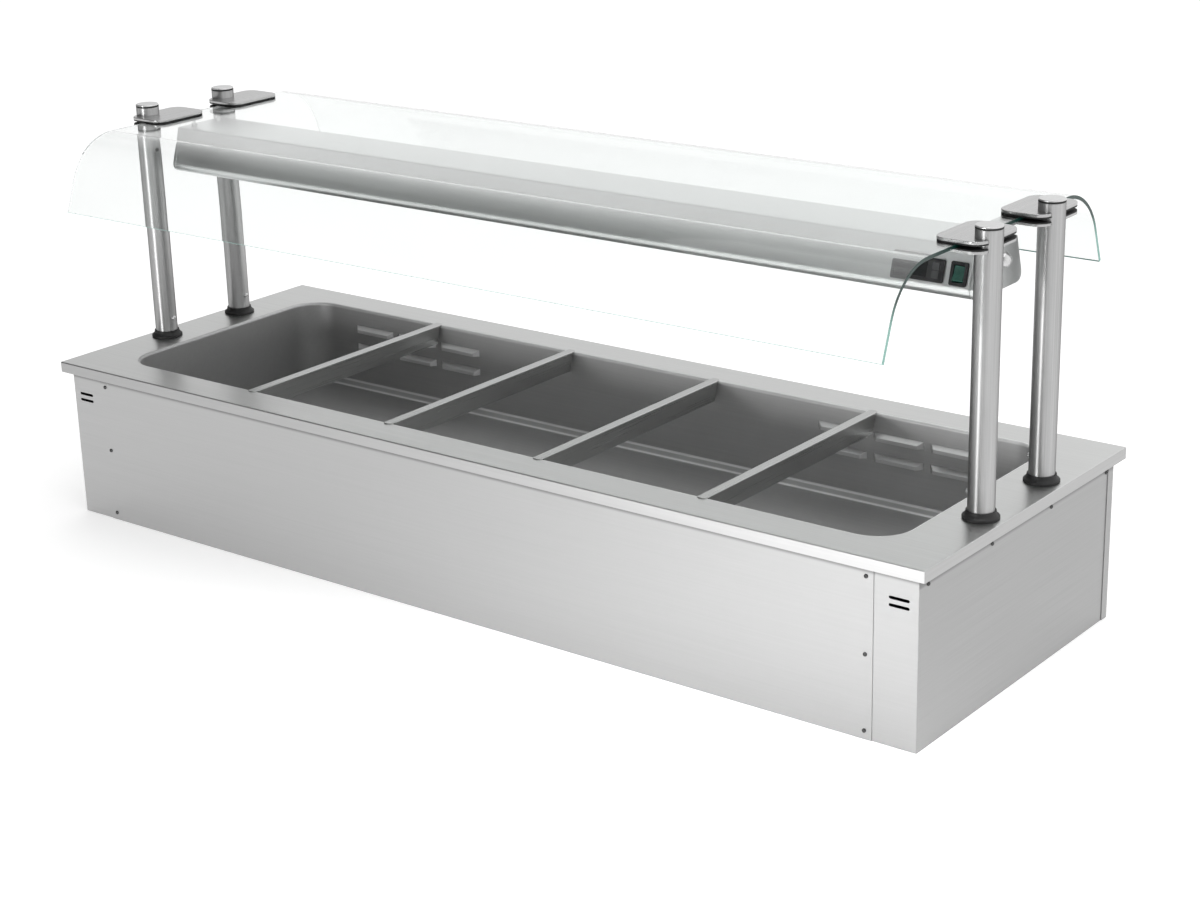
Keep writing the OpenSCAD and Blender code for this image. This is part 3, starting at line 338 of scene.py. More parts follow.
def soften(piece, width, segments=2):
    """Breaks all sharp edges of a piece."""
    shape_with(piece, "BEVEL", width=width, segments=segments, limit_method="ANGLE",
               angle_limit=math.radians(40))


def cut_out(piece, cutter, operation="DIFFERENCE"):
    """Cuts one piece with another, which is used up."""
    shape_with(piece, "BOOLEAN", operation=operation, object=cutter, solver="EXACT")
    bpy.data.objects.remove(cutter)


def join_to(piece, *others):
    """Joins other pieces to a piece."""
    hold(piece)
    for other in others:
        other.select_set(True)
    bpy.ops.object.join()


def spread(piece, places):
    """Sets a piece and copies of it at all the places, as one piece."""
    copies = []
    for place in places[1:]:
        other = bpy.data.objects.new(piece.name, piece.data.copy())
        bpy.context.collection.objects.link(other)
        copies.append(other)
    for other, place in zip([piece] + copies, places):
        other.data.transform(place)
        if place.determinant() < 0:
            other.data.flip_normals()
    if copies:
        join_to(piece, *copies)


def install(piece, material, slot, *nodes, body="housing", angle=40):
    """Smooths a finished piece, gives it its material and puts it in place of CAD nodes."""
    hold(piece)
    bpy.ops.object.shade_smooth_by_angle(angle=math.radians(angle))
    shape_with(piece, "WEIGHTED_NORMAL", keep_sharp=True)
    if not piece.data.materials:
        piece.data.materials.append(material)
    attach(piece, body)
    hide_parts(*nodes)


def sink_bend(radius, start, end, steps):
    """Sinks the selected face round a bend, whose slope runs from start to end degrees."""
    for step in range(steps):
        before = math.radians(start + (end - start) * step / steps)
        after = math.radians(start + (end - start) * (step + 1) / steps)
        bpy.ops.mesh.inset(thickness=radius * (math.cos(before) - math.cos(after)),
                           depth=-radius * (math.sin(after) - math.sin(before)))


bpy.ops.object.select_all(action="DESELECT")
bpy.ops.mesh.primitive_plane_add(size=1)
tub = bpy.context.object
tub.name = "tub"
tub.location.z = tub_high.z
tub.scale = (tub_high.x - tub_low.x, tub_high.y - tub_low.y, 1)
bpy.ops.object.transform_apply(location=True, rotation=True, scale=True)
bpy.ops.object.mode_set(mode="EDIT")
bpy.ops.mesh.select_all(action="SELECT")
bpy.ops.mesh.bevel(offset=mouth_corner, segments=corner_steps, affect="VERTICES")
bpy.ops.mesh.select_mode(type="FACE")
bpy.ops.mesh.select_all(action="SELECT")
for step in range(rim_steps):
    before, after = (math.radians(90 * (step + more) / rim_steps) for more in (0, 1))
    bpy.ops.mesh.inset(thickness=rim_roll * (math.sin(after) - math.sin(before)),
                       depth=-rim_roll * (math.cos(before) - math.cos(after)))
band_start = band_leg + band_bend * math.tan(math.radians(22.5))
wall_drop = tub_high.z - tub_low.z - tub_sheet - rim_roll - band_start
bpy.ops.mesh.extrude_region_move(TRANSFORM_OT_translate={"value": (0, 0, -wall_drop)})
sink_bend(band_bend, start=0, end=45, steps=3)
bpy.ops.mesh.inset(thickness=band_start - band_bend, depth=band_bend - band_start)
sink_bend(band_bend, start=45, end=90, steps=3)
close_edit()
shape_with(tub, "SOLIDIFY", thickness=tub_sheet, offset=-1, use_even_offset=True)

louvre_x, louvre_z = 0.550, 0.240
louvre_columns, louvre_rows = 0.112, 0.038
window_half, window_up, window_past = 0.0495, 0.007, 0.003
louvre_grid = [Matrix.Translation((column * louvre_columns, 0, louvre_z + row * louvre_rows))
               for column in (-1, 0, 1) for row in (-0.5, 0.5)]
wall_back = tub_high.y - rim_roll + tub_sheet
window = block("window", (-window_half, wall_back - 2 * window_past, -window_up),
               (window_half, wall_back + window_past, window_up))
spread(window, [Matrix.Translation((side * louvre_x, 0, 0)) @ place
                for side in (-1, 1) for place in louvre_grid])
cut_out(tub, window)
bend_low, bend_high = tub_low.z + tub_sheet, tub_low.z + tub_sheet + band_start
# Painted light on the tub: bright lines at the two bends of the foot band and at the rim roll,
# and walls a little lighter towards the top.
tub_painted_light = [(bend_low, 1.0), (bend_low + 0.0008, 1.0), (bend_low + 0.0015, 2.0),
             (bend_low + 0.003, 1.9), (bend_low + 0.0045, 1.05), (bend_high - 0.005, 1.05),
             (bend_high - 0.0035, 1.9), (bend_high - 0.001, 1.9), (bend_high, 1.15),
             (tub_high.z - 0.006, 1.2), (tub_high.z - 0.004, 1.5), (tub_high.z, 1.6)]
# Painted light and shade along the well: darker towards its left end and lighter towards its
# right.
tub_painted_light_x = [(-0.82, 0.7), (-0.7, 0.78), (-0.45, 0.92), (-0.3, 0.98), (0.4, 1.0), (0.66, 1.12),
            (0.82, 1.12)]
steel_tank = brushed_steel("steel_tank", (0.465, 0.465, 0.465), 0.52, "X", metal=0.75,
                           stops=tub_painted_light, stops_x=tub_painted_light_x)
install(tub, steel_tank, "steel_tank", "well_tank")

# Louvre sheets. Each is a flat sheet behind the well's back wall, with six hoods pressed
# out through the windows: a sloping top, a short front and slanted ends.
hood_half, hood_h, hood_out, hood_fall = 0.049, 0.013, 0.0102, 0.0063
hood_slant, hood_hollow, hood_edge = 0.009, 0.004, 0.0007
louvre_half, louvre_up, louvre_t = 0.166, 0.0305, 0.001
# The louvres wear the tank's steel painted lighter: painted light on the hoods.
steel_louvre_painted_light = brushed_steel("steel_louvre_painted_light", (0.75, 0.75, 0.75), 0.42, "X", metal=0.75)
for side, end in ((-1, "left"), (1, "right")):
    hood_y = wall_back - hood_out
    hood = block("hood", (-hood_half, hood_y, -hood_h / 2), (hood_half, wall_back, hood_h / 2))
    choose(hood, "FACE", lies_at(1, hood_y))
    bpy.ops.transform.resize(value=(1 - hood_slant / hood_half, 1, 1))
    close_edit()
    choose(hood, "EDGE", lambda edge: lies_at(1, hood_y)(edge) and lies_at(2, hood_h / 2)(edge))
    bpy.ops.transform.translate(value=(0, 0, -hood_fall))
    close_edit()
    choose(hood, "FACE", lies_at(2, -hood_h / 2))
    bpy.ops.mesh.inset(thickness=louvre_t)
    bpy.ops.mesh.extrude_region_move(TRANSFORM_OT_translate={"value": (0, 0, hood_hollow)})
    close_edit()
    soften(hood, hood_edge)
    spread(hood, louvre_grid)
    sheet = block(f"louvre_sheet_{end}", (-louvre_half, wall_back, louvre_z - louvre_up),
                  (louvre_half, wall_back + louvre_t, louvre_z + louvre_up))
    join_to(sheet, hood)
    spread(sheet, [Matrix.Translation((side * louvre_x, 0, 0))])
    install(sheet, steel_louvre_painted_light, "steel_tank", f"louvre_plate_{end}")

# Worktop. One stainless sheet with its edge folded down all round and turned in below, and with
# the well's mouth cut out of it. Each fold is brushed along its own edge. Painted shade makes
# the end folds darker than the top, and painted light and shade runs the front and back folds
# from darker at the left to lighter at the right.
top_low, top_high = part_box("worktop")
top_sheet, top_return, fold_r, return_r = 0.0015, 0.009, 0.0023, 0.001
edge_band, overrun = 0.004, 0.01
worktop = block("worktop_sheet", top_low, top_high)
choose(worktop, "FACE", lies_at(2, top_low.z))
bpy.ops.mesh.delete(type="FACE")
close_edit()
round_edges(worktop, lambda edge: not lies_at(2, top_low.z)(edge), fold_r, 4)
choose(worktop, "EDGE", lies_at(2, top_low.z))
bpy.ops.mesh.extrude_region_move(TRANSFORM_OT_translate={"value": (0, 0, 0)})
bpy.ops.transform.resize(value=(1 - top_return / top_high.x, 1 - top_return / top_high.y, 1))
close_edit()
soften(worktop, return_r)
shape_with(worktop, "SOLIDIFY", thickness=top_sheet, offset=-1, use_even_offset=True)
mouth = block("mouth", (tub_low.x, tub_low.y, top_high.z - overrun),
              (tub_high.x, tub_high.y, top_high.z + overrun))
round_edges(mouth, stands_along(2), mouth_corner, corner_steps)
cut_out(worktop, mouth)
steel_top = brushed_steel("steel_top", (0.55, 0.555, 0.55), 0.34, "X")
# Painted shade on the end folds, and painted light and shade along the front and back folds.
steel_end_painted_shade = brushed_steel("steel_end_painted_shade", (0.44, 0.44, 0.44), 0.34, "Y")
steel_fold_painted_light = brushed_steel("steel_fold_painted_light", (0.5, 0.5, 0.5), 0.34, "X",
                           stops_x=[(-0.93, 0.8), (0.2, 0.95), (0.93, 1.14)])
for material in (steel_top, steel_end_painted_shade, steel_fold_painted_light):
    worktop.data.materials.append(material)
for face in worktop.data.polygons:
    if abs(face.normal.x) > 0.7 and abs(face.center.x) > top_high.x - edge_band:
        face.material_index = 1
    elif abs(face.normal.y) > 0.7 and abs(face.center.y) > top_high.y - edge_band:
        face.material_index = 2
install(worktop, steel_top, "steel_top", "worktop")

# Divider bars. Loose channels that lie over the well on the worktop. Their sides end in
# a slant short of the louvres, and their tops end in rounded tongues.
bar_low, bar_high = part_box("divider_bar_1")
bar_sheet, bar_fold, bar_tip = 0.0015, 0.0023, 0.006
side_low, side_high, slant_end = 0.2395, 0.2485, 0.27
steel_bar = brushed_steel("steel_bar", (0.44, 0.445, 0.44), 0.32, "Y")
bar = block("bar_1", bar_low, bar_high)
choose(bar, "FACE", lambda face: lies_at(2, bar_low.z)(face) or lies_at(1, bar_low.y)(face)
       or lies_at(1, bar_high.y)(face))
bpy.ops.mesh.delete(type="FACE")
close_edit()
round_edges(bar, lambda edge: lies_at(2, bar_high.z)(edge) and stands_along(1)(edge),
            bar_fold, 4)
shape_with(bar, "SOLIDIFY", thickness=bar_sheet, offset=-1, use_even_offset=True)
for end in (-1, 1):
    slant = block("slant", (bar_low.x - overrun, end * side_low, bar_low.z),
                  (bar_high.x + overrun, end * slant_end, top_high.z))
    choose(slant, "EDGE", lambda edge: lies_at(1, end * side_low)(edge)
           and lies_at(2, top_high.z)(edge))
    bpy.ops.transform.translate(value=(0, end * (side_high - side_low), 0))
    close_edit()
    choose(slant, "FACE", lies_at(2, bar_low.z))
    bpy.ops.mesh.extrude_region_move(TRANSFORM_OT_translate={"value": (0, 0, -overrun)})
    bpy.ops.mesh.select_all(action="SELECT")
    bpy.ops.mesh.normals_make_consistent(inside=False)
    close_edit()
    cut_out(bar, slant)
tongue = block("tongue", bar_low - Vector((0, 0, overrun)), bar_high + Vector((0, 0, overrun)))
round_edges(tongue, stands_along(2), bar_tip, 8)
cut_out(bar, tongue, "INTERSECT")
bar_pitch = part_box("divider_bar_2")[0].x - bar_low.x
for index in range(4, 0, -1):
    other = bar if index == 1 else bpy.data.objects.new(f"bar_{index}", bar.data.copy())
    if index > 1:
        bpy.context.collection.objects.link(other)
        other.data.transform(Matrix.Translation(((index - 1) * bar_pitch, 0, 0)))
    install(other, steel_bar, "steel_bar", f"divider_bar_{index}", body=f"divider_{index}")

# Casing. Front, side and rear panels of brushed sheet. The front one can be taken off,
# and the sides turn the corner beside it as fixed strips with two vent slots each.


def eased(node, material, slot, width, body="housing", others=()):
    """Copies a CAD node, clears its triangles away and breaks its sharp edges. Others are
    pairs of a further material and a test for the faces that wear it."""
    piece = bpy.data.objects.new(f"{node}_eased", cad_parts[node].data.copy())
    piece.data.materials.clear()
    bpy.context.collection.objects.link(piece)
    hold(piece)
    bpy.ops.mesh.customdata_custom_splitnormals_clear()
    bpy.ops.object.mode_set(mode="EDIT")
    bpy.ops.mesh.select_all(action="SELECT")
    bpy.ops.mesh.remove_doubles(threshold=1e-6)
    bpy.ops.mesh.dissolve_limited(angle_limit=math.radians(1))
    close_edit()
    soften(piece, width)
    piece.data.materials.append(material)
    for index, (other, test) in enumerate(others, 1):
        piece.data.materials.append(other)
        for face in piece.data.polygons:
            if test(face):
                face.material_index = index
    install(piece, material, slot, node, body=body)


# Painted shadow: the panels turn darker just under the worktop's overhanging edge.
front_painted_shadow = [(0.0, 1.0), (0.2685, 1.0), (0.272, 0.6), (0.28, 0.4)]
side_painted_shadow = [(0.0, 1.0), (0.261, 1.0), (0.2655, 0.65), (0.28, 0.45)]
steel_panel = brushed_steel("steel_panel", (0.445, 0.445, 0.445), 0.36, "X",
                            cloud=0.012, stops=front_painted_shadow)
# Painted shade: the side and rear panels wear a darker copy of the front panel's steel, and the
# sides' front strips keep the front's tone.
steel_side = brushed_steel("steel_side", (0.37, 0.37, 0.37), 0.38, "Y",
                           cloud=0.012, stops=side_painted_shadow)
# Painted shade: the walls of the vent slots are near black, for the dark inside of the slots.
vent_painted_shade = brushed_steel("vent_painted_shade", (0.02, 0.02, 0.02), 0.6, "Z")
case_front, sheet_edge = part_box("front_panel")[0].y, 0.0003
strip_deep, strip_face = 0.004, 0.003
vent_z, vent_up, vent_start, vent_end = 0.234, 0.012, 0.86, 0.91


def in_vent(face):
    """Finds the cut walls of the vent slots in a strip."""
    return (abs(face.center.z - vent_z) < vent_up and face.center.y < case_front + strip_deep
            and abs(face.normal.y) < 0.9 and vent_start < abs(face.center.x) < vent_end)


def on_strip(face):
    """Finds the front face of a strip."""
    return face.center.y < case_front + strip_face and face.normal.y < -0.9


eased("front_panel", steel_panel, "steel_panel", sheet_edge)
for node in ("side_panel_left", "side_panel_right"):
    eased(node, steel_side, "steel_side", sheet_edge,
          others=[(steel_panel, on_strip), (vent_painted_shade, in_vent)])
eased("rear_panel", steel_side, "steel_side", sheet_edge)

# Screws of the casing. They hold the panels on, and have small round dark steel heads with a
# recess for the driver.


def turned(name, rings, segments=32):
    """Draws a disc up ring by ring, each a radius and a height, as on a lathe."""
    radius, height = rings[0]
    bpy.ops.object.select_all(action="DESELECT")
    bpy.ops.mesh.primitive_circle_add(vertices=segments, radius=radius,
                                      location=(0, 0, height), fill_type="NGON")
    piece = bpy.context.object
    piece.name = name
    bpy.ops.object.transform_apply(location=True)
    bpy.ops.object.mode_set(mode="EDIT")
    bpy.ops.mesh.select_all(action="SELECT")
    for wide, high in rings[1:]:
        bpy.ops.mesh.extrude_region_move(
            TRANSFORM_OT_translate={"value": (0, 0, high - height)})
        bpy.ops.transform.resize(value=(wide / radius, wide / radius, 1))
        radius, height = wide, high
    bpy.ops.mesh.select_all(action="SELECT")
    bpy.ops.mesh.normals_make_consistent(inside=False)
    close_edit()
    return piece


screw_rings = [(0.0035, 0), (0.0035, 0.0007), (0.0032, 0.0014), (0.0025, 0.0019),
               (0.0015, 0.0022), (0.0013, 0.0022), (0.001, 0.0009)]
to_front, to_back = Matrix.Rotation(math.pi / 2, 4, "X"), Matrix.Rotation(-math.pi / 2, 4, "X")
screw_rows = [0.014, 0.139, 0.264]
screw_x, side_places = 0.829, (-0.286, -0.0953, 0.0953, 0.286)
dark_screw = brushed_steel("dark_screw", (0.1, 0.1, 0.1), 0.4, "Z", cloud=0.1)
front_screws = turned("front_screw_heads", screw_rings, segments=20)
spread(front_screws, [Matrix.Translation((x, case_front, z)) @ to_front
                      for x in (-screw_x, screw_x) for z in screw_rows])
install(front_screws, dark_screw, "fastener", "front_screws")
case_side, case_back = 0.9188, 0.312
casing_screws = turned("casing_screw_heads", screw_rings, segments=20)
spread(casing_screws,
       [Matrix.Translation((side * case_side, y, screw_rows[2]))
        @ Matrix.Rotation(side * math.pi / 2, 4, "Y")
        for side in (-1, 1) for y in side_places]
       + [Matrix.Translation((step * screw_x / 2, case_back, z)) @ to_back
          for step in (-2, -1, 0, 1, 2) for z in (screw_rows[0], screw_rows[2])])
install(casing_screws, dark_screw, "fastener", "casing_screws")

# Posts. Four round stainless tubes, bolted through the worktop by studs in their feet.
# The front left one has a hole near its top for the gantry's wires.
post_r, post_wall, post_edge = 0.0212, 0.002, 0.0004
wire_r, wire_z = 0.0045, 0.673
post_places = {"front_left": (-0.895, -0.09), "front_right": (0.895, -0.09),
               "rear_left": (-0.895, 0.105), "rear_right": (0.895, 0.105)}
post_low, post_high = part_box("post_front_left")
dress(steel_inner, "post_feet", "post_plates", "post_nuts")
steel_tube, tree, shader = new_material("steel_tube")
shader.inputs["Metallic"].default_value = 1.0
shader.inputs["Anisotropic"].default_value = 0.78
shader.inputs["Anisotropic Rotation"].default_value = 0.25
# Its grey specular tint darkens the reflections near the tube's outline: painted shade along
# the posts' edges.
shader.inputs["Specular Tint"].default_value = (0.38, 0.38, 0.38, 1)
vary_colour(tree, shader, noise(tree, (500, 500, 4), detail=3.0), (0.43, 0.43, 0.43),
            (0.51, 0.51, 0.51))
vary_roughness(tree, shader, noise(tree, (60, 60, 1500), detail=3.0), 0.4, 0.46)
tangent = tree.nodes.new("ShaderNodeTangent")
tangent.direction_type = "RADIAL"
tangent.axis = "Z"
tree.links.new(tangent.outputs["Tangent"], shader.inputs["Tangent"])
for corner, (x, y) in post_places.items():
    bpy.ops.object.select_all(action="DESELECT")
    bpy.ops.mesh.primitive_cylinder_add(
        vertices=96, radius=post_r, depth=post_high.z - post_low.z, end_fill_type="NOTHING",
        location=(0, 0, (post_low.z + post_high.z) / 2))
    post = bpy.context.object
    post.name = f"tube_{corner}"
    bpy.ops.object.transform_apply(location=True)
    shape_with(post, "SOLIDIFY", thickness=post_wall, offset=-1)
    soften(post, post_edge)
    if corner == "front_left":
        drill = turned("drill", [(wire_r, 0), (wire_r, post_r + overrun)], segments=24)
        spread(drill, [Matrix.Translation((0, 0, wire_z))
                       @ Matrix.Rotation(math.pi / 2, 4, "Y")])
        cut_out(post, drill)
    post.data.transform(Matrix.Translation((x, y, 0)))
    install(post, steel_tube, "steel_tube", f"post_{corner}")

# Collars and set screws. A black flared collar hides each post's foot, and a bright
# button screw with a socket holds the tube on its foot, on the side of the well.
post_frames = [Matrix.Translation((x, y, 0)) @ Matrix.Scale(1 if x > 0 else -1, 4, (1, 0, 0))
               for x, y in post_places.values()]
flare_x, flare_z, flare_r = 0.0335, 0.313, 0.010
flare = [(flare_x - flare_r * math.cos(math.radians(turn)),
          flare_z - flare_r * math.sin(math.radians(turn))) for turn in (62, 50, 38, 26, 13, 0)]
collar_foot = [(0.0288, 0.3), (0.0292, 0.3004), (0.0292, 0.3036)]
collar_lip = [(0.0231, 0.3134), (0.0213, 0.313), (0.0205, 0.312)]
collar = turned("collars", collar_foot + flare + collar_lip, segments=64)
spread(collar, post_frames)
collar_plastic = moulded("collar_plastic", (0.007, 0.0072, 0.0075), 0.55)
install(collar, collar_plastic, "black_plastic", "post_collars")
bright_steel = brushed_steel("bright_steel", (0.72, 0.72, 0.72), 0.32, "Z", bump=0)
button_rings = [(0.0045, 0), (0.0045, 0.0022), (0.0042, 0.0034), (0.0034, 0.0044),
                (0.0022, 0.005), (0.0019, 0.005), (0.0016, 0.0028)]
button_sink, button_z = 0.0004, 0.338
set_screw = turned("set_screws", button_rings, segments=24)
spread(set_screw, [place @ Matrix.Translation((button_sink - post_r, 0, button_z))
                   @ Matrix.Rotation(-math.pi / 2, 4, "Y") for place in post_frames])
install(set_screw, bright_steel, "fastener", "post_screws")

# Caps. A black rubber ring sits on the end of each tube, and on it a flat steel cap with
# a rounded edge.
cap_low, cap_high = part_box("post_rings")[1].z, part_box("post_caps")[1].z
ring_foot, rim_r, cap_r, rim_edge = 0.0205, 0.0209, 0.0213, 0.0003
crown = [(0.0213, 0.0012), (0.0209, 0.0005), (0.0201, 0.0001), (0.019, 0)]
ring = turned("rings", [(ring_foot, post_high.z), (cap_r, post_high.z + rim_edge),
                        (cap_r, cap_low - rim_edge), (rim_r, cap_low)], segments=64)
spread(ring, post_frames)
install(ring, black_rubber, "black_rubber", "post_rings")
cap = turned("caps", [(rim_r, cap_low), (cap_r, cap_low + rim_edge)]
             + [(radius, cap_high - drop) for radius, drop in crown], segments=64)
spread(cap, post_frames)
steel_cap = brushed_steel("steel_cap", (0.6, 0.6, 0.6), 0.3, "X")
install(cap, steel_cap, "steel_tube", "post_caps")

# Glass. One pane of toughened glass, flat over the posts and bent down to the front and
# back. Its polished right end and its lower edges show green.
glass_low, glass_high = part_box("glass_canopy")
glass_t, glass_bend, glass_turn, bend_steps = 0.006, 0.110, 70, 20
glass_edge, end_band, foot_band = 0.0006, 0.001, 0.003
upper_y = (glass_low.y + glass_high.y) / 2
turn_sin, turn_cos = math.sin(math.radians(glass_turn)), math.cos(math.radians(glass_turn))
tail = (glass_high.z - glass_low.z - glass_t * turn_cos
        - glass_bend * (1 - turn_cos)) / turn_sin
flat_half = (glass_high.y - glass_low.y) / 2 - (glass_bend * turn_sin + tail * turn_cos)
bpy.ops.object.select_all(action="DESELECT")
bpy.ops.mesh.primitive_plane_add(size=1)
glass = bpy.context.object
glass.name = "bent_glass"
glass.location = (0, upper_y, glass_high.z)
glass.scale = (glass_high.x - glass_low.x, 2 * flat_half, 1)
bpy.ops.object.transform_apply(location=True, rotation=True, scale=True)
for end in (-1, 1):
    edge_y = upper_y + end * flat_half
    choose(glass, "EDGE", lies_at(1, edge_y))
    for step in range(bend_steps):
        start, stop = (math.radians(glass_turn * (step + more) / bend_steps)
                       for more in (0, 1))
        bpy.ops.mesh.extrude_region_move(TRANSFORM_OT_translate={"value": (
            0, end * glass_bend * (math.sin(stop) - math.sin(start)),
            glass_bend * (math.cos(stop) - math.cos(start)))})
    bpy.ops.mesh.extrude_region_move(
        TRANSFORM_OT_translate={"value": (0, end * tail * turn_cos, -tail * turn_sin)})
    close_edit()
choose(glass, "FACE", lambda face: True)
bpy.ops.mesh.normals_make_consistent(inside=False)
close_edit()
if glass.data.polygons[0].normal.z < 0:
    glass.data.flip_normals()
shape_with(glass, "SOLIDIFY", thickness=glass_t, offset=-1, use_even_offset=True)
soften(glass, glass_edge, 1)
clear_glass, tree, shader = new_material("clear_glass")
shader.inputs["Roughness"].default_value = 0.0
shader.inputs["IOR"].default_value = 1.45
shader.inputs["Transmission Weight"].default_value = 1.0
smear = noise(tree, (6, 6, 6))
vary_colour(tree, shader, smear, (0.942, 0.962, 0.955), (0.952, 0.97, 0.964))
green_edge_painted_shade, tree, shader = new_material("green_edge_painted_shade")
shader.inputs["Roughness"].default_value = 0.25
# The edges' green is the glass's own. Its darkening towards the top of the pane is painted
# shade, and its lightening towards the foot is painted light.
height = tree.nodes.new("ShaderNodeTexCoord")
level = tree.nodes.new("ShaderNodeSeparateXYZ")
climb = tree.nodes.new("ShaderNodeMapRange")
climb.inputs["From Min"].default_value = glass_low.z
climb.inputs["From Max"].default_value = glass_high.z
tree.links.new(height.outputs["Object"], level.inputs["Vector"])
tree.links.new(level.outputs["Z"], climb.inputs["Value"])
vary_colour(tree, shader, climb.outputs["Result"], (0.22, 0.42, 0.37), (0.004, 0.03, 0.024))
glass.data.materials.append(clear_glass)
glass.data.materials.append(green_edge_painted_shade)
for face in glass.data.polygons:
    if face.center.x > glass_high.x - end_band or face.center.z < glass_low.z + foot_band:
        face.material_index = 1
install(glass, clear_glass, "canopy_glass", "glass_canopy", angle=30)

# Clamps. Over the glass lies a thick rounded plate at each post, under it a jaw, and
# dark gaskets lie between them and the glass. A bolt from below draws them together.
plate_top, plate_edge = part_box("clamp_plates")[1].z, 0.0012
clamp_l, clamp_w, clamp_r = 0.084, 0.122, 0.022
gasket_t, gasket_inset, play = 0.002, 0.0003, 0.0001
clamp_mid = Vector((-0.032, 0.021, 0))


def clamp_layer(name, low, high, inset, edge):
    """Makes the rounded plate of one layer at the four posts, with its seat."""
    half = Vector((clamp_l / 2 - inset, clamp_w / 2 - inset, 0))
    layer = block(name, clamp_mid - half + Vector((0, 0, low)),
                  clamp_mid + half + Vector((0, 0, high)))
    round_edges(layer, stands_along(2), clamp_r - inset, 12)
    if edge:
        soften(layer, edge, 3)
    seat = turned("seat", [(post_r + play, low - overrun), (post_r + play, high + overrun)],
                  segments=96)
    cut_out(layer, seat)
    spread(layer, post_frames)
    return layer


steel_clamp = brushed_steel("steel_clamp", (0.455, 0.455, 0.455), 0.3, "Y")
plates = clamp_layer("clamp_tops", glass_high.z + gasket_t, plate_top, 0, plate_edge)
install(plates, steel_clamp, "steel_clamp", "clamp_plates")
gaskets = clamp_layer("gasket_tops", glass_high.z, glass_high.z + gasket_t, gasket_inset, 0)
low_gaskets = clamp_layer("gasket_lows", glass_high.z - glass_t - gasket_t,
                          glass_high.z - glass_t, gasket_inset, 0)
join_to(gaskets, low_gaskets)
install(gaskets, black_rubber, "black_rubber", "clamp_gaskets")
eased("clamp_jaws", steel_clamp, "steel_clamp", width=0.0005)
eased("clamp_bolts", bright_steel, "fastener", width=0.0003)

# Gantry. A folded steel box with leaning faces, a wide mouth below, two inner walls and
# two openings in its face for the controls. A thick cap with two domed bolts closes each
# end, and rods hang the box from the jaws.
body_low, body_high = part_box("gantry_body")
lean_low, lean_high = 0.079, 0.057
corner_low, corner_high, gantry_sheet = 0.015, 0.004, 0.0015
lean = math.atan((lean_low - lean_high) / (body_high.z - body_low.z))


def gantry_block(name, low_x, high_x):
    """Makes a solid stretch of the gantry's section between two places along it."""
    piece = block(name, (low_x, upper_y - lean_low, body_low.z),
                  (high_x, upper_y + lean_low, body_high.z))
    choose(piece, "FACE", lies_at(2, body_high.z))
    bpy.ops.transform.resize(value=(1, lean_high / lean_low, 1))
    close_edit()
    low_run = corner_low / math.tan((math.pi / 2 - lean) / 2)
    high_run = corner_high / math.tan((math.pi / 2 + lean) / 2)
    round_edges(piece, lambda edge: lies_at(2, body_low.z)(edge) and stands_along(0)(edge),
                low_run, 8)
    round_edges(piece, lambda edge: lies_at(2, body_high.z)(edge) and stands_along(0)(edge),
                high_run, 4)
    return piece


steel_gantry = brushed_steel("steel_gantry", (0.64, 0.655, 0.65), 0.34, "X",
                             cloud=0.01, bump=0)
gantry = gantry_block("gantry_sheet", body_low.x, body_high.x)
choose(gantry, "FACE", lambda face: lies_at(0, body_low.x)(face)
       or lies_at(0, body_high.x)(face))
bpy.ops.mesh.delete(type="FACE")
close_edit()
shape_with(gantry, "SOLIDIFY", thickness=gantry_sheet, offset=-1, use_even_offset=True)
mouth_half, mouth_up, wall_up = 0.048, 0.003, 0.004
mouth = block("lamp_mouth",
              (body_low.x - overrun, upper_y - mouth_half, body_low.z - mouth_up),
              (body_high.x + overrun, upper_y + mouth_half, body_low.z + mouth_up))
cut_out(gantry, mouth)
wall_x, wall_fit = 0.811, (1, 0.985, 0.97)
for side in (-1, 1):
    wall = gantry_block("inner_wall", side * wall_x - gantry_sheet / 2,
                        side * wall_x + gantry_sheet / 2)
    choose(wall, "FACE", lambda face: True)
    bpy.ops.transform.resize(value=wall_fit)
    close_edit()
    mouth = block("wall_mouth",
                  (side * wall_x - overrun, upper_y - mouth_half, body_low.z - mouth_up),
                  (side * wall_x + overrun, upper_y + mouth_half, body_low.z + wall_up))
    cut_out(wall, mouth)
    join_to(gantry, wall)
face_mid = Vector((0, upper_y - (lean_low + lean_high) / 2, (body_low.z + body_high.z) / 2))
face_turn = Matrix.Rotation(math.pi / 2 - lean, 4, "X")
controller_x, switch_x = (sum(corner.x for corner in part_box(node)) / 2
                          for node in ("controller", "switch_housing"))
controller_body, switch_body = (0.039, 0.013), (0.011, 0.015)
opening_gap, opening_past = 0.0003, 0.006


def on_face(x):
    """Place on the gantry's face, with x along it, y up it and z out of it."""
    return Matrix.Translation(face_mid + Vector((x, 0, 0))) @ face_turn


for place, body in ((controller_x, controller_body), (switch_x, switch_body)):
    half, up = (size + opening_gap for size in body)
    opening = block("face_opening", (-half, -up, -opening_past), (half, up, opening_past))
    opening.data.transform(on_face(place))
    cut_out(gantry, opening)
install(gantry, steel_gantry, "steel_gantry", "gantry_body")
end_edge = 0.0012
for side, end in ((-1, "left"), (1, "right")):
    cap_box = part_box(f"gantry_end_{end}")
    outer = max(abs(cap_box[0].x), abs(cap_box[1].x))
    gantry_cap = gantry_block(f"gantry_cap_{end}", *sorted((side * body_high.x, side * outer)))
    soften(gantry_cap, end_edge, 3)
    install(gantry_cap, steel_gantry, "steel_gantry", f"gantry_end_{end}")
dome_round, dome_h, dome_y, dome_z = 0.0128, 0.010, 0.020, 0.670
dome_rings = [(dome_round * math.sin(math.radians(turn)),
               dome_round * math.cos(math.radians(turn)) - dome_round + dome_h)
              for turn in (77, 66, 55, 44, 33, 22, 11, 3)]
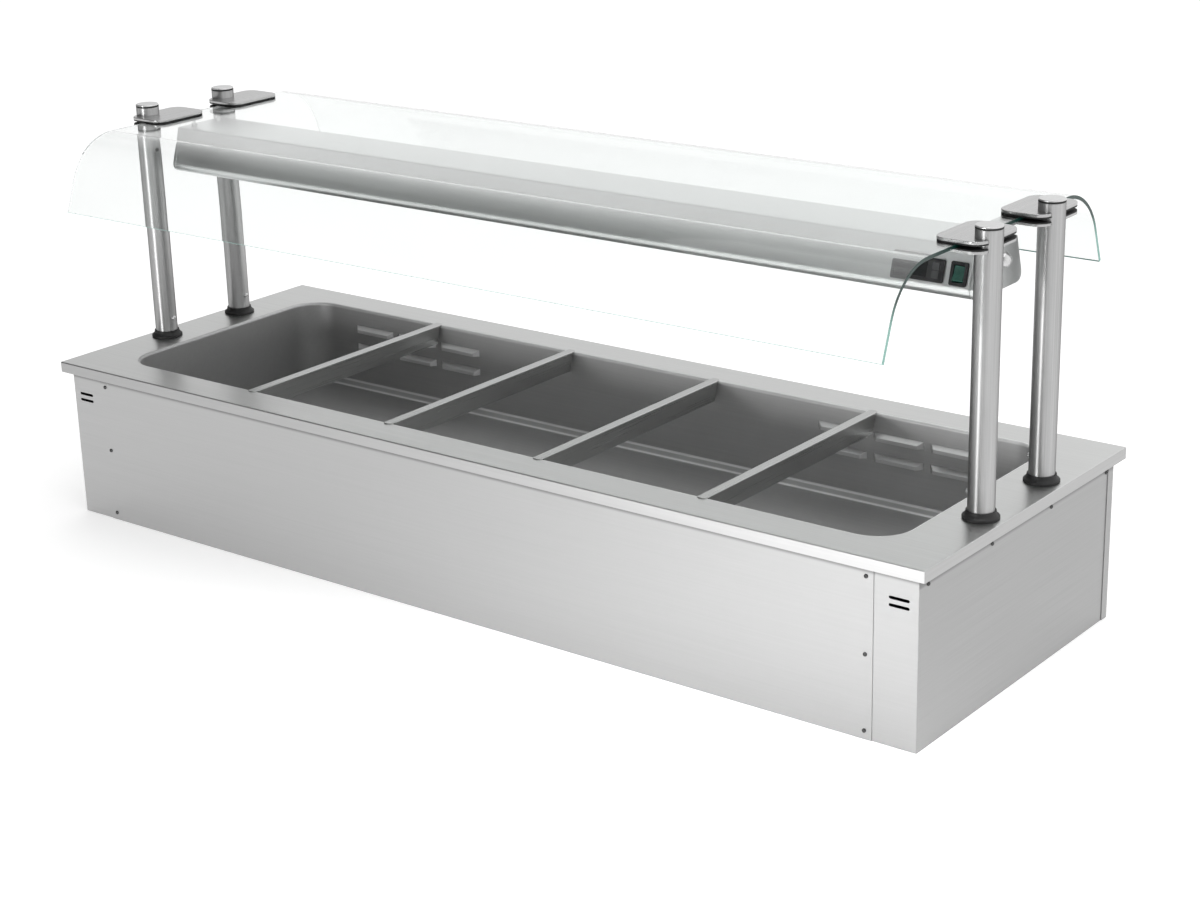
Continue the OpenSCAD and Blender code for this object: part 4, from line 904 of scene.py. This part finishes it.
domes = turned("domed_heads", dome_rings, segments=48)
spread(domes, [Matrix.Translation((side * outer, upper_y + row * dome_y, dome_z))
               @ Matrix.Rotation(side * math.pi / 2, 4, "Y")
               for side in (-1, 1) for row in (-1, 1)])
install(domes, steel_cap, "fastener", "gantry_end_bolts")
eased("gantry_hangers", bright_steel, "fastener", width=0.0003)

# Lamps. Quartz tubes in ceramic holders under a folded reflector of bright sheet, with
# a guard of wires below them.
bright_foil = brushed_steel("bright_foil", (0.85, 0.85, 0.85), 0.15, "X", cloud=0.03)
ceramic = moulded("ceramic", (0.8, 0.77, 0.7), 0.6)
quartz, tree, shader = new_material("quartz")
vary_colour(tree, shader, noise(tree, (200, 200, 200)), (0.95, 0.92, 0.86), (1.0, 0.97, 0.92))
shader.inputs["Roughness"].default_value = 0.1
shader.inputs["Transmission Weight"].default_value = 0.6
eased("lamp_reflector", bright_foil, "reflector", width=0.0002)
eased("lamp_holders", ceramic, "ceramic", width=0.0006)
eased("lamp_guard", steel_gantry, "steel_gantry", width=0.0002)
dress(quartz, "quartz_lamps")

# Controller. A flat black housing let into the gantry's face, with a groove round its
# front, a dark display window and two grey keys beside it.
bezel_half, bezel_up, bezel_t, bezel_deep = 0.044, 0.018, 0.004, 0.024
bezel_r, bezel_edge, groove_in, groove_w = 0.003, 0.0006, 0.0011, 0.0004
rear_lap, seat_deep = 0.0005, 0.002
pane_x, pane_half, pane_up, pane_t = -0.011, 0.027, 0.012, 0.0015
pane_frame, pane_step, pane_edge = 0.003, 0.0003, 0.0002
key_x, key_y, key_half, key_up, key_r = 0.031, 0.0065, 0.006, 0.0055, 0.002
key_low, key_rise = -0.0011, 0.001
key_rim, key_dish, key_sink, key_edge = 0.0006, 0.0012, 0.0003, 0.0003


def bezel(name, half, up, thick, deep, body):
    """Makes a housing: a rounded front with a groove, and a smaller body behind it."""
    front = block(name, (-half, -up, 0), (half, up, thick))
    round_edges(front, stands_along(2), bezel_r, 5)
    soften(front, bezel_edge)
    choose(front, "FACE", lambda face: lies_at(2, thick)(face) and len(face.verts) > 8)
    bpy.ops.mesh.inset(thickness=groove_in)
    bpy.ops.mesh.inset(thickness=groove_w, depth=-groove_w)
    bpy.ops.mesh.inset(thickness=groove_w, depth=groove_w)
    close_edit()
    rear = block("rear", (-body[0], -body[1], -deep), (*body, rear_lap))
    cut_out(front, rear, "UNION")
    return front


controller = bezel("controller_case", bezel_half, bezel_up, bezel_t, bezel_deep,
                   controller_body)
window = block("window_seat",
               (pane_x - pane_half - play, -pane_up - play, bezel_t - pane_t),
               (pane_x + pane_half + play, pane_up + play, overrun))
cut_out(controller, window)
for row in (-1, 1):
    seat = block("key_seat",
                 (key_x - key_half - play, row * key_y - key_up - play, -seat_deep),
                 (key_x + key_half + play, row * key_y + key_up + play, overrun))
    round_edges(seat, stands_along(2), key_r, 4)
    cut_out(controller, seat)
controller.data.transform(on_face(controller_x))
install(controller, black_plastic, "black_plastic", "controller")
display_glass = moulded("display_glass", (0.01, 0.011, 0.012), 0.15)
display = block("display_pane", (pane_x - pane_half, -pane_up, bezel_t - pane_t),
                (pane_x + pane_half, pane_up, bezel_t))
choose(display, "FACE", lies_at(2, bezel_t))
bpy.ops.mesh.inset(thickness=pane_frame)
bpy.ops.mesh.inset(thickness=pane_step, depth=-pane_step)
close_edit()
soften(display, pane_edge)
display.data.transform(on_face(controller_x))
install(display, display_glass, "display", "controller_display")
dark_key = moulded("dark_key", (0.05, 0.052, 0.053), 0.5)
for node, row in (("key_up", 1), ("key_down", -1)):
    key = block(f"{node}_cap", (key_x - key_half, row * key_y - key_up, key_low),
                (key_x + key_half, row * key_y + key_up, bezel_t + key_rise))
    round_edges(key, stands_along(2), key_r, 4)
    choose(key, "FACE", lies_at(2, bezel_t + key_rise))
    bpy.ops.mesh.inset(thickness=key_rim)
    bpy.ops.mesh.inset(thickness=key_dish, depth=-key_sink)
    close_edit()
    soften(key, key_edge)
    key.data.transform(on_face(controller_x))
    install(key, dark_key, "grey_plastic", node, body="up_key" if row > 0 else "down_key")

# Switch. A rocker of green plastic in a black housing, which is let into the gantry's
# face beside the controller and has the same groove.
switch_half, switch_up, switch_t, switch_deep = 0.0145, 0.0185, 0.003, 0.022
room_half, room_up, room_deep = 0.0094, 0.0134, 0.011
switch = bezel("switch_case", switch_half, switch_up, switch_t, switch_deep, switch_body)
cut_out(switch, block("rocker_room", (-room_half, -room_up, -room_deep),
                      (room_half, room_up, overrun)))
switch.data.transform(on_face(switch_x))
install(switch, black_plastic, "black_plastic", "switch_housing")
green_plastic, tree, shader = new_material("green_plastic")
vary_colour(tree, shader, noise(tree, (300, 300, 300)), (0.012, 0.075, 0.055),
            (0.02, 0.1, 0.075))
shader.inputs["Roughness"].default_value = 0.25
shader.inputs["Coat Weight"].default_value = 0.5
eased("switch_rocker", green_plastic, "green_plastic", width=0.0004, body="rocker")

bpy.context.view_layer.update()
